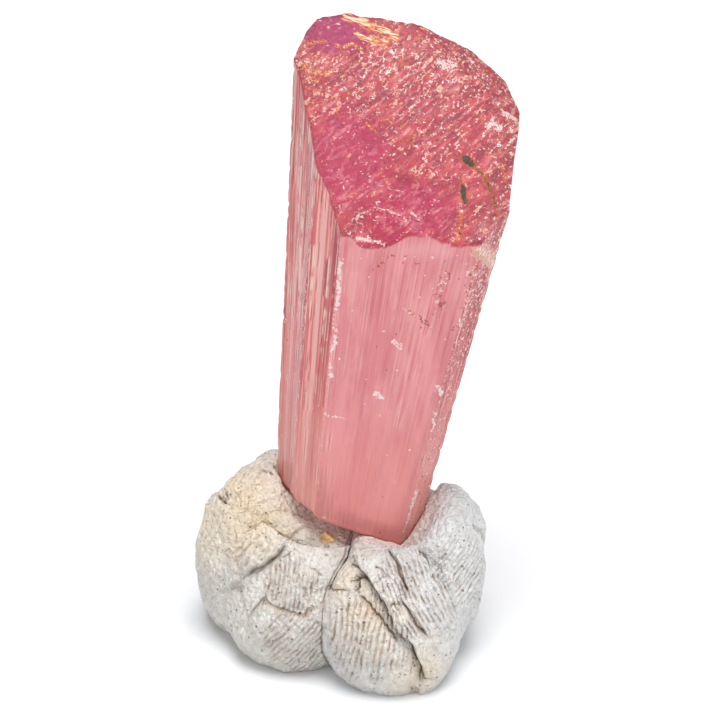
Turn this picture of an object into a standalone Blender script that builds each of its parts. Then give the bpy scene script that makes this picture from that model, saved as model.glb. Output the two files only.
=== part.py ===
"""A pink spodumene crystal standing in two wads of mounting putty, with a chip of grit caught in their fold.

The frame has +Z up and the crystal's broad face towards -Y. Its origin is on the putty's flat underside.
Sizes are in millimetres; build_object turns them into Blender's metres.
"""

import math
from dataclasses import dataclass

import bmesh
import bpy
import numpy as np
from mathutils import Matrix

METRES_PER_MM = 0.001
CLEARANCE = 0.3  # gap between pieces that touch

# The crystal's own axes: u runs right along its broad face, v towards its back, w up its length.
CRYSTAL_FOOT = (0.3, 3.5, 10.8)  # the middle of its lower end
CRYSTAL_TURN = 14.0  # degrees about its length, which brings the left flank into view
CRYSTAL_BACK = 5.0  # degrees that it leans away from -Y
CRYSTAL_LEAN = 7.3  # degrees that it leans towards +X
HEAD_HEIGHT = 48.0  # height w at which the head corners below are stated


@dataclass(frozen=True)
class Face:
    """One long face of the prism, from its own first corner to the next face's.

    foot and head are that corner's (u, v) at w = 0 and at HEAD_HEIGHT, between which the edge is straight.
    The face has this many strips across it, whose joints sink by up to flute_depth.
    """

    name: str
    foot: tuple
    head: tuple
    strips: int
    flute_depth: float


FACES = (
    Face("broad", (-4.7, -4.75), (-6.9, -5.8), 11, 0.10),
    Face("right bevel", (3.9, -4.75), (9.1, -6.5), 3, 0.12),
    Face("right flank", (5.95, -2.9), (12.0, -4.3), 5, 0.25),
    Face("right rear", (6.0, 1.2), (13.3, 3.3), 3, 0.15),
    Face("right corner", (5.3, 3.4), (12.2, 6.4), 2, 0.1),
    Face("back right", (3.4, 4.6), (8.4, 7.7), 6, 0.15),
    Face("back left", (-0.5, 4.9), (1.0, 6.3), 5, 0.15),
    Face("left back", (-3.4, 4.8), (-6.0, 6.7), 2, 0.1),
    Face("left shoulder", (-5.3, 4.3), (-8.6, 6.1), 2, 0.1),
    Face("left outer flank", (-6.6, 2.8), (-10.3, 4.2), 5, 0.3),
    Face("left inner flank", (-6.2, -1.3), (-9.0, -1.9), 9, 0.35),
)
FLUTE_SEED = 7

# The lower end is a worn slope: lowest under KEEL_U, rising evenly to the left and curling up to the right.
KEEL_U = 3.9
KEEL_SLOPE_LEFT = 0.33
KEEL_CURL_RIGHT = 0.1
KEEL_RIM = -0.1  # height of the rim where it is lowest
KEEL_ROUNDING = 0.8  # how far the end's middle bulges below its rim
KEEL_FLAT = 0.55  # share of the end, from its middle, that isn't rounded

# The upper end is a steep face that looks forwards, and a flatter one that falls away to the right.
STEEP_AT_FRONT = 30.2
STEEP_SLOPE = 1.42
FRONT_V = -5.9
SHOULDER_HEIGHT = 46.4
SHOULDER_AT = (3.9, 6.4)
SHOULDER_SLOPES = (-0.52, 0.5)
SHOULDER_BLEND = 0.8
LEDGE_CENTRE = (-2.5, -7.2)
LEDGE_STRETCH = 1.25  # how much wider than deep each curved ledge is
LEDGE_RADII = (1.5, 2.6, 3.8, 5.2)
LEDGE_STEP = 0.3
LEDGE_RAMP = 0.4  # width of each ledge's riser
LEDGE_SINK = 2.0  # over this reach the ledges' steps are taken up again
RIDGE_BEARING = 27.0  # degrees from +u to the growth ridges' direction
RIDGE_SPACING = 2.1
RIDGE_HEIGHT = 0.16
RIDGE_START = 4.0  # the growth ridges fade in beyond this reach from the ledges' centre
CHIP_SCARS = (  # (u, v, radius, height) of places where the upper rim stands proud or is chipped
    (-3.9, -5.8, 1.0, -1.0),
    (-2.6, -5.9, 1.0, -0.75),
    (-1.5, -6.0, 0.8, -0.6),
    (1.4, -6.1, 1.8, 0.75),
    (4.7, -6.1, 0.8, -0.3),
    (8.6, -6.3, 1.1, 0.9),
)
RIM_ROUNDING = 0.2
END_RINGS = 13
END_RING_CROWDING = 0.8  # below 1 the end's rings crowd towards its rim
SETTLING_STEPS = 12  # rounds in which a ring point's height and place settle on each other
KEEL_RINGS = 5
SHAFT_ROWS = 8


@dataclass(frozen=True)
class Lobe:
    """One rounded lump of a wad: an ellipsoid, turned about Z and then leaning towards +X, in degrees."""

    centre: tuple
    radii: tuple
    turn: float
    lean: float


@dataclass(frozen=True)
class Swelling:
    """A soft rise or, with a negative height, a dent, round one direction from a wad's heart."""

    azimuth: float  # degrees from -Y towards +X
    elevation: float
    height: float
    spread: float


@dataclass(frozen=True)
class Fold:
    """A crease through points on a wad, each an (azimuth, elevation) seen from its heart.

    lift raises the putty on the crease's left, looking along it from outside, as a lap over the other side.
    """

    name: str
    path: tuple
    depth: float
    width: float
    lift: float = 0.0


@dataclass(frozen=True)
class Wad:
    """A kneaded lump of putty: lobes grown together, with swellings and folds, pressed flat on the table."""

    name: str
    heart: tuple
    lobes: tuple
    swellings: tuple
    folds: tuple


LOBE_BLEND = 2.5
LAP_WIDTH = 3.0  # how far from a fold a lap fades out
GRID_CUTS = 31  # per side of the cube that a wad starts as
WAD_TRIANGLES = 3200
CUTTER_CUTS = 15
SHARP_ANGLE = 40.0

LEFT_WAD = Wad(
    "left_putty_wad",
    heart=(-6.0, 3.6, 6.0),
    lobes=(
        Lobe((-7.9, 6.6, 6.8), (5.4, 7.6, 9.6), -15, 14),
        Lobe((-3.7, 0.2, 5.2), (7.6, 6.8, 6.6), -38, 0),
        Lobe((-2.6, 5.6, 7.2), (5.2, 6.4, 5.4), 0, 0),
    ),
    swellings=(
        Swelling(-90, 55, 1.3, 22),
        Swelling(-85, 15, 1.1, 26),
        Swelling(-10, -30, 1.8, 30),
        Swelling(-55, -25, 0.6, 30),
    ),
    folds=(
        Fold("under the shoulder", ((-28, 60), (-13, 58), (7, 49), (37, 36), (53, 31)), 1.2, 0.8, -0.9),
        Fold("shoulder branch", ((-27, 61), (-42, 45)), 0.7, 0.6),
        Fold("thumb roll", ((6, 45), (-9, 33), (-22, 25), (-32, 16)), 0.9, 0.7, -0.4),
        Fold("belly lap", ((-18, -4), (-9, 7), (-3, 5), (11, 2), (19, 5)), 0.8, 0.6, -0.9),
        Fold("side valley", ((-32, 14), (-25, -1), (-17, -7)), 0.7, 0.9, 0.2),
        Fold("outer nick", ((-98, 50), (-84, 53), (-74, 56)), 0.8, 0.6),
    ),
)
RIGHT_WAD = Wad(
    "right_putty_wad",
    heart=(6.0, -1.6, 6.0),
    lobes=(
        Lobe((8.0, 2.4, 6.6), (5.2, 7.6, 8.2), 0, 12),
        Lobe((4.0, -5.2, 4.4), (6.4, 5.8, 6.4), -12, 0),
        Lobe((3.6, 3.2, 6.8), (4.6, 7.0, 5.0), 0, 0),
    ),
    swellings=(
        Swelling(0, -35, 1.2, 28),
        Swelling(75, -20, 0.8, 30),
        Swelling(-35, 10, 0.5, 30),
        Swelling(-60, 45, 1.5, 25),
        Swelling(165, 80, -1.4, 16),
    ),
    folds=(
        Fold("long fold", ((-50, 40), (-28, 31), (-14, 16), (-5, 3), (4, -8), (8, -24)), 1.2, 0.8, 0.7),
        Fold("narrow roll", ((-76, 70), (-27, 60), (-11, 47), (-3, 22), (4, 12), (12, -1)), 0.6, 0.6),
        Fold("crystal foot crease", ((20, 88), (41, 66), (43, 53), (54, 31)), 0.9, 0.9, -0.4),
        Fold("wedge", ((-39, 25), (-29, 19), (-17, 9), (-5, -3)), 0.6, 0.6, -0.3),
    ),
)

CHIP_CENTRE = (-1.6, -0.45, 11.15)
CHIP_RADII = (1.0, 0.85, 0.9)
CHIP_POINTS = 11
CHIP_SEED = 3


def crystal_matrix():
    """The crystal's own axes in the row frame, in millimetres."""
    return (
        Matrix.Translation(CRYSTAL_FOOT)
        @ Matrix.Rotation(math.radians(CRYSTAL_LEAN), 4, "Y")
        @ Matrix.Rotation(math.radians(-CRYSTAL_BACK), 4, "X")
        @ Matrix.Rotation(math.radians(CRYSTAL_TURN), 4, "Z")
    )


def outline(fluted, swell):
    """The prism's outline at w = 0 and at HEAD_HEIGHT, anticlockwise from the broad face's left edge."""
    dice = np.random.default_rng(FLUTE_SEED)
    ends = []
    for end in ("foot", "head"):
        corners = np.array([getattr(face, end) for face in FACES])
        outwards = corners - corners.mean(0)
        ends.append(corners + outwards * (swell / np.linalg.norm(outwards, axis=1, keepdims=True)))
    foot, head = [], []
    for i, face in enumerate(FACES):
        j = (i + 1) % len(FACES)
        strips = face.strips if fluted else 1
        sink = face.flute_depth * dice.uniform(0, 1, strips) * (1 if fluted else 0)
        sink[0] = 0
        for corners, rows in zip(ends, (foot, head), strict=True):
            along = corners[j] - corners[i]
            inward = np.array([-along[1], along[0]]) / np.linalg.norm(along)
            share = np.arange(strips)[:, None] / strips
            rows.append(corners[i] + along * share + inward * sink[:, None])
    return np.concatenate(foot), np.concatenate(head)


def keel_height(u):
    """Height of the lower end's slope at u."""
    return KEEL_SLOPE_LEFT * np.maximum(KEEL_U - u, 0) + KEEL_CURL_RIGHT * np.maximum(u - KEEL_U, 0) ** 2


def smooth_least(a, b, blend):
    """The smaller of a and b, rounded over where they cross."""
    near = np.maximum(blend - np.abs(a - b), 0) / blend
    return np.minimum(a, b) - near * near * blend / 4


def end_relief(u, v):
    """Curved ledges, slanting growth ridges and rim scars of the upper end."""
    reach = np.hypot((u - LEDGE_CENTRE[0]) / LEDGE_STRETCH, v - LEDGE_CENTRE[1])
    relief = sum(LEDGE_STEP * np.clip((reach - radius) / LEDGE_RAMP, -0.5, 0.5) for radius in LEDGE_RADII)
    relief = relief - LEDGE_STEP * np.clip((reach - LEDGE_RADII[0]) / LEDGE_SINK, -0.5, LEDGE_SINK)
    bearing = math.radians(RIDGE_BEARING)
    across = v * math.cos(bearing) - u * math.sin(bearing)
    ridges = np.abs((across / RIDGE_SPACING) % 1.0 - 0.5) * 2 - 0.5
    relief = relief + RIDGE_HEIGHT * ridges * np.clip(reach / RIDGE_START - 1, 0, 1)
    for at_u, at_v, radius, height in CHIP_SCARS:
        relief = relief + height * np.exp(-((u - at_u) ** 2 + (v - at_v) ** 2) / radius**2)
    return relief


def end_height(u, v):
    """Height of the upper end over (u, v)."""
    steep = STEEP_AT_FRONT + STEEP_SLOPE * (v - FRONT_V)
    along, back = SHOULDER_SLOPES
    shoulder = SHOULDER_HEIGHT + along * (u - SHOULDER_AT[0]) + back * (v - SHOULDER_AT[1])
    return smooth_least(steep, shoulder, SHOULDER_BLEND) + end_relief(u, v)


def at_height(foot, head, height):
    """Outline points at heights w, which may differ from point to point."""
    return foot + (head - foot) * (np.asarray(height) / HEAD_HEIGHT)[..., None]


def crystal_rings(fluted, swell):
    """Closed rings of (u, v, w) points, from the middle of the lower end to the middle of the upper end."""
    foot, head = outline(fluted, swell)
    rings = []
    for step in range(KEEL_RINGS):
        share = (step + 1) / KEEL_RINGS
        rounding = max(share - KEEL_FLAT, 0) / (1 - KEEL_FLAT)
        spot = foot * share
        height = keel_height(spot[:, 0]) + KEEL_RIM - KEEL_ROUNDING * math.sqrt(1 - rounding**2) - swell
        rings.append(np.column_stack([spot, height]))
    low = rings[-1][:, 2]
    high = np.full(len(foot), STEEP_AT_FRONT)
    for _ in range(SETTLING_STEPS):
        rim = at_height(foot, head, high)
        high = end_height(rim[:, 0], rim[:, 1]) - RIM_ROUNDING + swell
    for row in range(1, SHAFT_ROWS + 1):
        height = low + (high - low) * row / SHAFT_ROWS
        rings.append(np.column_stack([at_height(foot, head, height), height]))
    for step in range(END_RINGS - 1, 0, -1):
        share = (step / END_RINGS) ** END_RING_CROWDING
        height = high.copy()
        for _ in range(SETTLING_STEPS):
            spot = at_height(foot, head, height) * share
            height = end_height(spot[:, 0], spot[:, 1]) + swell
        rings.append(np.column_stack([spot, height]))
    return rings


def mesh_from_rings(name, rings):
    """A closed mesh through rings of points, with a fan at each end, in millimetres."""
    bm = bmesh.new()
    loops = [[bm.verts.new(point) for point in ring] for ring in rings]
    count = len(rings[0])
    for lower, upper in zip(loops[:-1], loops[1:], strict=True):
        for i in range(count):
            j = (i + 1) % count
            bm.faces.new((lower[i], lower[j], upper[j], upper[i]))
    for loop, points, sign in ((loops[0], rings[0], -1), (loops[-1], rings[-1], 1)):
        tip = bm.verts.new(points.mean(0))
        for i in range(count):
            pair = (loop[i], loop[(i + 1) % count])
            bm.faces.new((*(pair if sign > 0 else pair[::-1]), tip))
    bmesh.ops.triangulate(bm, faces=bm.faces)
    mesh = bpy.data.meshes.new(name)
    bm.to_mesh(mesh)
    bm.free()
    return mesh


def unit(azimuth, elevation):
    """The direction of an azimuth, from -Y towards +X, and an elevation, in degrees."""
    azimuth, elevation = math.radians(azimuth), math.radians(elevation)
    flat = math.cos(elevation)
    return np.array([math.sin(azimuth) * flat, -math.cos(azimuth) * flat, math.sin(elevation)])


def lobe_reach(lobe, heart, ways):
    """How far each way from the heart leaves the lobe, which holds the heart."""
    turn = Matrix.Rotation(-math.radians(lobe.turn), 3, "Z")
    lean = Matrix.Rotation(-math.radians(lobe.lean), 3, "Y")
    axes = np.array(lean @ turn)
    start = axes @ (np.array(heart) - lobe.centre) / lobe.radii
    along = ways @ axes.T / lobe.radii
    a, b, c = (along**2).sum(1), along @ start, start @ start - 1
    return (-b + np.sqrt(np.maximum(b * b - a * c, 0))) / a


def fold_relief(fold, reach, ways):
    """The crease and lap that one fold adds to the reach."""
    corners = [unit(*point) for point in fold.path]
    nearest = np.full(len(ways), np.inf)
    side = np.zeros(len(ways))
    for start, end in zip(corners[:-1], corners[1:], strict=True):
        along = end - start
        share = np.clip((ways - start) @ along / (along @ along), 0, 1)
        offset = ways - (start + share[:, None] * along)
        distance = np.linalg.norm(offset, axis=1)
        closer = distance < nearest
        nearest = np.where(closer, distance, nearest)
        left = np.cross((start + end) / 2, along)
        side = np.where(closer, offset @ left / np.linalg.norm(left), side)
    distance = nearest * reach
    crease = -fold.depth * np.exp(-((distance / fold.width) ** 2))
    step = np.clip(side * reach / fold.width, -0.5, 0.5)
    return crease + fold.lift * step * np.exp(-((distance / LAP_WIDTH) ** 2))


def wad_reach(wad, ways, folded):
    """How far the wad's skin is from its heart, each way."""
    reach = None
    for lobe in wad.lobes:
        found = lobe_reach(lobe, wad.heart, ways)
        reach = found if reach is None else -smooth_least(-reach, -found, LOBE_BLEND)
    for swelling in wad.swellings:
        angle = np.degrees(np.arccos(np.clip(ways @ unit(swelling.azimuth, swelling.elevation), -1, 1)))
        reach = reach + swelling.height * np.exp(-((angle / swelling.spread) ** 2))
    return reach + sum(fold_relief(fold, reach, ways) for fold in wad.folds) if folded else reach


def wad_mesh(name, wad, cuts, folded, swell):
    """A cube cut into a fine grid and pushed out to the wad's skin, pressed flat on the table."""
    bm = bmesh.new()
    bmesh.ops.create_cube(bm, size=2)
    bmesh.ops.subdivide_edges(bm, edges=bm.edges, cuts=cuts, use_grid_fill=True)
    ways = np.array([vertex.co for vertex in bm.verts])
    ways = np.tan(ways * math.pi / 4)  # even cells once the grid is made round
    ways /= np.linalg.norm(ways, axis=1, keepdims=True)
    points = np.array(wad.heart) + ways * (wad_reach(wad, ways, folded) + swell)[:, None]
    points[:, 2] = np.maximum(points[:, 2], -swell)
    for vertex, point in zip(bm.verts, points, strict=True):
        vertex.co = point
    mesh = bpy.data.meshes.new(name)
    bm.to_mesh(mesh)
    bm.free()
    return mesh


def build_object(name, mesh, material, placed=None, smooth=False):
    """Links a mesh in millimetres as an object, set in place by a matrix where it has its own axes."""
    mesh.transform(Matrix.Scale(METRES_PER_MM, 4))
    if smooth:
        mesh.shade_smooth()
        mesh.set_sharp_from_angle(angle=math.radians(SHARP_ANGLE))
    made = bpy.data.objects.new(name, mesh)
    bpy.context.scene.collection.objects.link(made)
    if placed is not None:
        place, turn, _ = placed.decompose()
        made.matrix_world = Matrix.LocRotScale(place * METRES_PER_MM, turn, None)
    if material:
        mesh.materials.append(material)
    return made


def as_cutter(made):
    """Keeps an object for Booleans only."""
    made.hide_render = True
    made.display_type = "WIRE"
    return made


def cut_with(made, cutter):
    """Takes the cutter's space out of an object."""
    cut = made.modifiers.new("cut_" + cutter.name, "BOOLEAN")
    cut.operation = "DIFFERENCE"
    cut.solver = "EXACT"
    cut.object = cutter


def plain_material(name, colour, roughness, transmission=0.0):
    """A Principled material of one colour."""
    material = bpy.data.materials.new(name)
    material.use_nodes = True
    shader = material.node_tree.nodes["Principled BSDF"]
    shader.inputs["Base Color"].default_value = (*colour, 1)
    shader.inputs["Roughness"].default_value = roughness
    shader.inputs["Metallic"].default_value = 0
    shader.inputs["Transmission Weight"].default_value = transmission
    return material


def build_crystal():
    """The crystal, and a plain, slightly larger copy that cuts its seat in the putty."""
    pink = plain_material("pink_spodumene", (0.71, 0.27, 0.31), 0.2, transmission=0.6)
    placed = crystal_matrix()
    build_object("crystal", mesh_from_rings("crystal", crystal_rings(True, 0)), pink, placed)
    seat = mesh_from_rings("crystal_seat", crystal_rings(False, CLEARANCE))
    return as_cutter(build_object("crystal_seat", seat, None, placed))


def build_wad(wad, material):
    """One wad of putty, thinned to the triangles that its shape needs."""
    made = build_object(wad.name, wad_mesh(wad.name, wad, GRID_CUTS, True, 0), material, smooth=True)
    thin = made.modifiers.new("thin", "DECIMATE")
    thin.ratio = WAD_TRIANGLES / (12 * (GRID_CUTS + 1) ** 2)
    return made


def chip_mesh(name, swell):
    """The hull of points strewn round an ellipsoid, which gives a lump with flat, broken faces."""
    dice = np.random.default_rng(CHIP_SEED)
    ways = dice.normal(size=(CHIP_POINTS, 3))
    ways /= np.linalg.norm(ways, axis=1, keepdims=True)
    bm = bmesh.new()
    for way in ways:
        bm.verts.new(way * (np.array(CHIP_RADII) + swell))
    hull = bmesh.ops.convex_hull(bm, input=bm.verts)
    inside = [part for part in hull["geom_interior"] if isinstance(part, bmesh.types.BMVert)]
    bmesh.ops.delete(bm, geom=inside, context="VERTS")
    bmesh.ops.recalc_face_normals(bm, faces=bm.faces)
    mesh = bpy.data.meshes.new(name)
    bm.to_mesh(mesh)
    bm.free()
    return mesh


def build_chip():
    """The chip of grit, and a larger copy that cuts its seat in the putty."""
    ochre = plain_material("ochre_grit", (0.42, 0.29, 0.13), 0.5)
    placed = Matrix.Translation(CHIP_CENTRE)
    build_object("grit_chip", chip_mesh("grit_chip", 0), ochre, placed)
    return as_cutter(build_object("chip_seat", chip_mesh("chip_seat", CLEARANCE), None, placed))


def main():
    """Builds the crystal, the wads that hold it and the chip between them."""
    for old in list(bpy.data.objects):
        bpy.data.objects.remove(old)
    putty = plain_material("grey_putty", (0.66, 0.61, 0.55), 0.7)
    crystal_seat = build_crystal()
    chip_seat = build_chip()
    left = build_wad(LEFT_WAD, putty)
    right = build_wad(RIGHT_WAD, putty)
    right_face = wad_mesh("right_wad_face", RIGHT_WAD, CUTTER_CUTS, False, CLEARANCE)
    right_face = as_cutter(build_object("right_wad_face", right_face, None))
    cut_with(left, right_face)
    for wad in (left, right):
        cut_with(wad, crystal_seat)
        cut_with(wad, chip_seat)


main()
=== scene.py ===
"""The finished look of a pink spodumene crystal that stands in two wads of mounting putty.

Lengths are millimetres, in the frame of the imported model, until a mesh is written in metres.
The crystal has axes of its own: u runs right along its broad face, v towards its back, w up its length.
"""

import logging
import math
from collections.abc import Iterator
from dataclasses import dataclass, field
from enum import Enum
from functools import partial

import bmesh
import bpy
import numpy as np
from mathutils import Matrix, Vector


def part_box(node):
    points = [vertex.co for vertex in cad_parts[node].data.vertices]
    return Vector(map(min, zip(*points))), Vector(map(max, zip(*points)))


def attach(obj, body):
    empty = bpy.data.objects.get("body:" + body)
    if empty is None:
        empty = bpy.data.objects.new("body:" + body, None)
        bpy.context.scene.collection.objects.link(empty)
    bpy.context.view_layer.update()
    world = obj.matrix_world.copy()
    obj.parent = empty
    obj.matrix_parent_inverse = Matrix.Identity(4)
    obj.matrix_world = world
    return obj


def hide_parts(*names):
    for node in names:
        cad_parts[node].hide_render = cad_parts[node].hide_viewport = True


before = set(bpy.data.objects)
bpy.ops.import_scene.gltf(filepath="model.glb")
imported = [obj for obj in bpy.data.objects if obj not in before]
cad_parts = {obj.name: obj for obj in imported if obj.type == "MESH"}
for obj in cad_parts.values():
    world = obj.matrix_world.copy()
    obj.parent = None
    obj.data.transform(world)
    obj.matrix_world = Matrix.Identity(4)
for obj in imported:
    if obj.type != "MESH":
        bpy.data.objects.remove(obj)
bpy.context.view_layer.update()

MM = 0.001  # metres in a millimetre
FAR = 9.0  # millimetres, further than any pattern reaches from its line
BODY = "root"
Pair = tuple[float, float]
Place = tuple[float, float, float]
Source = bpy.types.Node | bpy.types.NodeSocket
log = logging.getLogger("spodumene")


# ---------------------------------------------------------------- shared helpers


def linear(code: str) -> tuple[float, float, float, float]:
    """Turns an sRGB hex colour into the linear colour that a shader socket holds.

    Args:
        code: six hex digits, such as "d98c91".

    Returns:
        The red, green and blue shares and an alpha of 1.
    """
    shares = [int(code[i : i + 2], 16) / 255 for i in (0, 2, 4)]
    return (*(s / 12.92 if s <= 0.04045 else ((s + 0.055) / 1.055) ** 2.4 for s in shares), 1.0)


def add_node(tree: bpy.types.NodeTree, kind: str, *inputs: object, **settings: object) -> bpy.types.Node:
    """Adds a node with its settings and links.

    Args:
        tree: the tree that gets the node.
        kind: the node's type, where a shader node's may leave out "ShaderNode".
        inputs: for each live input in order a node or socket to link from, a plain value, or None to leave
            it alone; or one dict of these by input name.
        settings: the node's properties by name, and a colour ramp's stops as places with sRGB hex colours.

    Returns:
        The new node.
    """
    node = tree.nodes.new(kind if "Node" in kind else "ShaderNode" + kind)
    stops = settings.pop("stops", [])
    for name, value in settings.items():
        setattr(node, name, value)
    if stops:
        elements = node.color_ramp.elements
        while len(elements) < len(stops):
            elements.new(1.0)
        for element, (place, code) in zip(elements, stops, strict=True):
            element.position = place
            element.color = linear(code)
    live = [socket for socket in node.inputs if socket.enabled]
    if inputs and isinstance(inputs[0], dict):
        by_name = {socket.name: socket for socket in reversed(live)}
        pairs = [(by_name[name], value) for name, value in inputs[0].items()]
    else:
        pairs = list(zip(live, inputs, strict=False))
    for socket, value in pairs:
        if isinstance(value, bpy.types.Node):
            value = next(out for out in value.outputs if out.enabled)
        if isinstance(value, bpy.types.NodeSocket):
            tree.links.new(value, socket)
        elif value is not None:
            socket.default_value = value
    return node


def scatter(cells: np.ndarray, seed: int) -> np.ndarray:
    """A repeatable number from -1 to 1 for each whole-numbered cell.

    Args:
        cells: cell numbers, one row of three for each.
        seed: which set of numbers to give.

    Returns:
        One number for each row.
    """
    mixed = cells[..., 0] * 73856093 ^ cells[..., 1] * 19349663 ^ cells[..., 2] * 83492791
    mixed = mixed ^ (seed * 2654435761)
    mixed = (mixed ^ (mixed >> 13)) * 1274126177 & 0xFFFFFFFF
    mixed = (mixed ^ (mixed >> 16)) * 2246822519 & 0xFFFFFFFF
    return (mixed & 0xFFFF) / 32767.5 - 1


def noise(points: np.ndarray, spacing: float, seed: int) -> np.ndarray:
    """Smooth noise through space.

    Args:
        points: where it is read.
        spacing: the size of its lumps, in the points' unit.
        seed: which noise.

    Returns:
        Values from -1 to 1.
    """
    cell = np.floor(points / spacing).astype(np.int64)
    part = points / spacing - cell
    part = part * part * (3 - 2 * part)
    total = np.zeros(points.shape[:-1])
    for corner in np.ndindex(2, 2, 2):
        weight = np.prod(np.where(np.array(corner) == 1, part, 1 - part), axis=-1)
        total += weight * scatter(cell + np.array(corner), seed)
    return total


def nearest_pit(points: np.ndarray, spacing: float, seed: int) -> tuple[np.ndarray, np.ndarray]:
    """Distance to the nearest of a set of strewn spots, and that spot's own number.

    Args:
        points: where it is read.
        spacing: the mean distance between spots.
        seed: which set of spots.

    Returns:
        The distances, and for each a number from -1 to 1.
    """
    cell = np.floor(points / spacing).astype(np.int64)
    best = np.full(len(points), np.inf)
    own = np.zeros(len(points))
    for step in np.ndindex(3, 3, 3):
        home = cell + np.array(step) - 1
        spot = home + 0.5 + 0.45 * np.stack([scatter(home, seed + k) for k in range(3)], axis=-1)
        distance = np.linalg.norm(points - spot * spacing, axis=-1)
        closer = distance < best
        best = np.where(closer, distance, best)
        own = np.where(closer, scatter(home, seed + 9), own)
    return best, own


def smooth_least(a: np.ndarray, b: np.ndarray, blend: float) -> np.ndarray:
    """The smaller of two values, rounded over where they cross.

    Args:
        a: the first values.
        b: the second values.
        blend: how far apart they are where the rounding ends.

    Returns:
        The rounded smaller values.
    """
    near = np.maximum(blend - np.abs(a - b), 0) / blend
    return np.minimum(a, b) - near * near * blend / 4


def ease(value: np.ndarray, low: float, high: float) -> np.ndarray:
    """A smooth step from 0 at low to 1 at high.

    Args:
        value: what is stepped.
        low: where the step starts.
        high: where it ends; it may lie below low.

    Returns:
        Values from 0 to 1.
    """
    share = np.clip((value - low) / (high - low), 0, 1)
    return share * share * (3 - 2 * share)


def path_distance(points: np.ndarray, path: np.ndarray) -> tuple[np.ndarray, np.ndarray, np.ndarray]:
    """How far points are from a path of straight pieces.

    Args:
        points: the points.
        path: the path's corners.

    Returns:
        The distance, the offset from the path's nearest spot, and the direction of the path there.
    """
    best = np.full(len(points), np.inf)
    offset = np.zeros(points.shape)
    direction = np.zeros(points.shape)
    for start, end in zip(path[:-1], path[1:], strict=True):
        along = end - start
        share = np.clip((points - start) @ along / (along @ along), 0, 1)
        away = points - (start + share[:, None] * along)
        distance = np.linalg.norm(away, axis=1)
        closer = distance < best
        best = np.where(closer, distance, best)
        offset = np.where(closer[:, None], away, offset)
        direction = np.where(closer[:, None], along, direction)
    return best, offset, direction


def make_piece(
    name: str, points: np.ndarray, faces: list, fields: dict[str, np.ndarray], crease: float = 180.0
) -> bpy.types.Object:
    """Makes a smooth-shaded object whose place is in its mesh.

    Args:
        name: the piece's name.
        points: its points in millimetres.
        faces: its faces as point numbers.
        fields: numbers for each point, kept as the mesh's own attributes.
        crease: the angle in degrees past which an edge looks sharp.

    Returns:
        The object, linked to the scene.
    """
    mesh = bpy.data.meshes.new(name)
    mesh.from_pydata((points * MM).tolist(), [], faces)
    for label, values in fields.items():
        layer = mesh.attributes.new(label, "FLOAT", "POINT")
        layer.data.foreach_set("value", np.ascontiguousarray(values, dtype=np.float32))
    mesh.shade_smooth()
    if crease < 180:
        mesh.set_sharp_from_angle(angle=math.radians(crease))
    piece = bpy.data.objects.new(name, mesh)
    bpy.context.scene.collection.objects.link(piece)
    return piece


# ---------------------------------------------------------------- the crystal


@dataclass(frozen=True)
class CrystalAxes:
    """Where the crystal's own axes lie in the frame.

    Angles are in degrees.
    """

    foot: Place = (0.3, 3.5, 10.8)
    turn: float = 14.0
    back: float = 5.0
    lean: float = 7.3

    def rotation(self) -> Matrix:
        """The turn from the crystal's axes to the frame's."""
        return (
            Matrix.Rotation(math.radians(self.lean), 3, "Y")
            @ Matrix.Rotation(math.radians(-self.back), 3, "X")
            @ Matrix.Rotation(math.radians(self.turn), 3, "Z")
        )

    def out(self, points: np.ndarray) -> np.ndarray:
        """Points given along the crystal's axes, in the frame."""
        return points @ np.array(self.rotation()).T + np.array(self.foot)

    def into(self, points: np.ndarray) -> np.ndarray:
        """Points given in the frame, along the crystal's axes."""
        return (points - np.array(self.foot)) @ np.array(self.rotation())


class Side(Enum):
    """Which part of the crystal's outside a long face belongs to."""

    BROAD = 0
    BEVEL = 1
    RIGHT = 2
    BACK = 3
    LEFT = 4


@dataclass(frozen=True)
class Face:
    """One long face, from its own first corner to the next face's.

    foot and head are that corner's (u, v) at w = 0 and at Prism.head_height. The face has this many coarse
    strips, whose joints sink by up to flute_depth, and finer grooves up to groove_depth on them.
    """

    side: Side
    foot: Pair
    head: Pair
    strips: int
    flute_depth: float
    groove_depth: float


@dataclass(frozen=True)
class Columns:
    """The lines of points that run up the crystal: one entry in each array for each line."""

    foot: np.ndarray
    head: np.ndarray
    inward: np.ndarray
    girth: np.ndarray
    side: np.ndarray
    corner_gap: np.ndarray
    groove: np.ndarray


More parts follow.
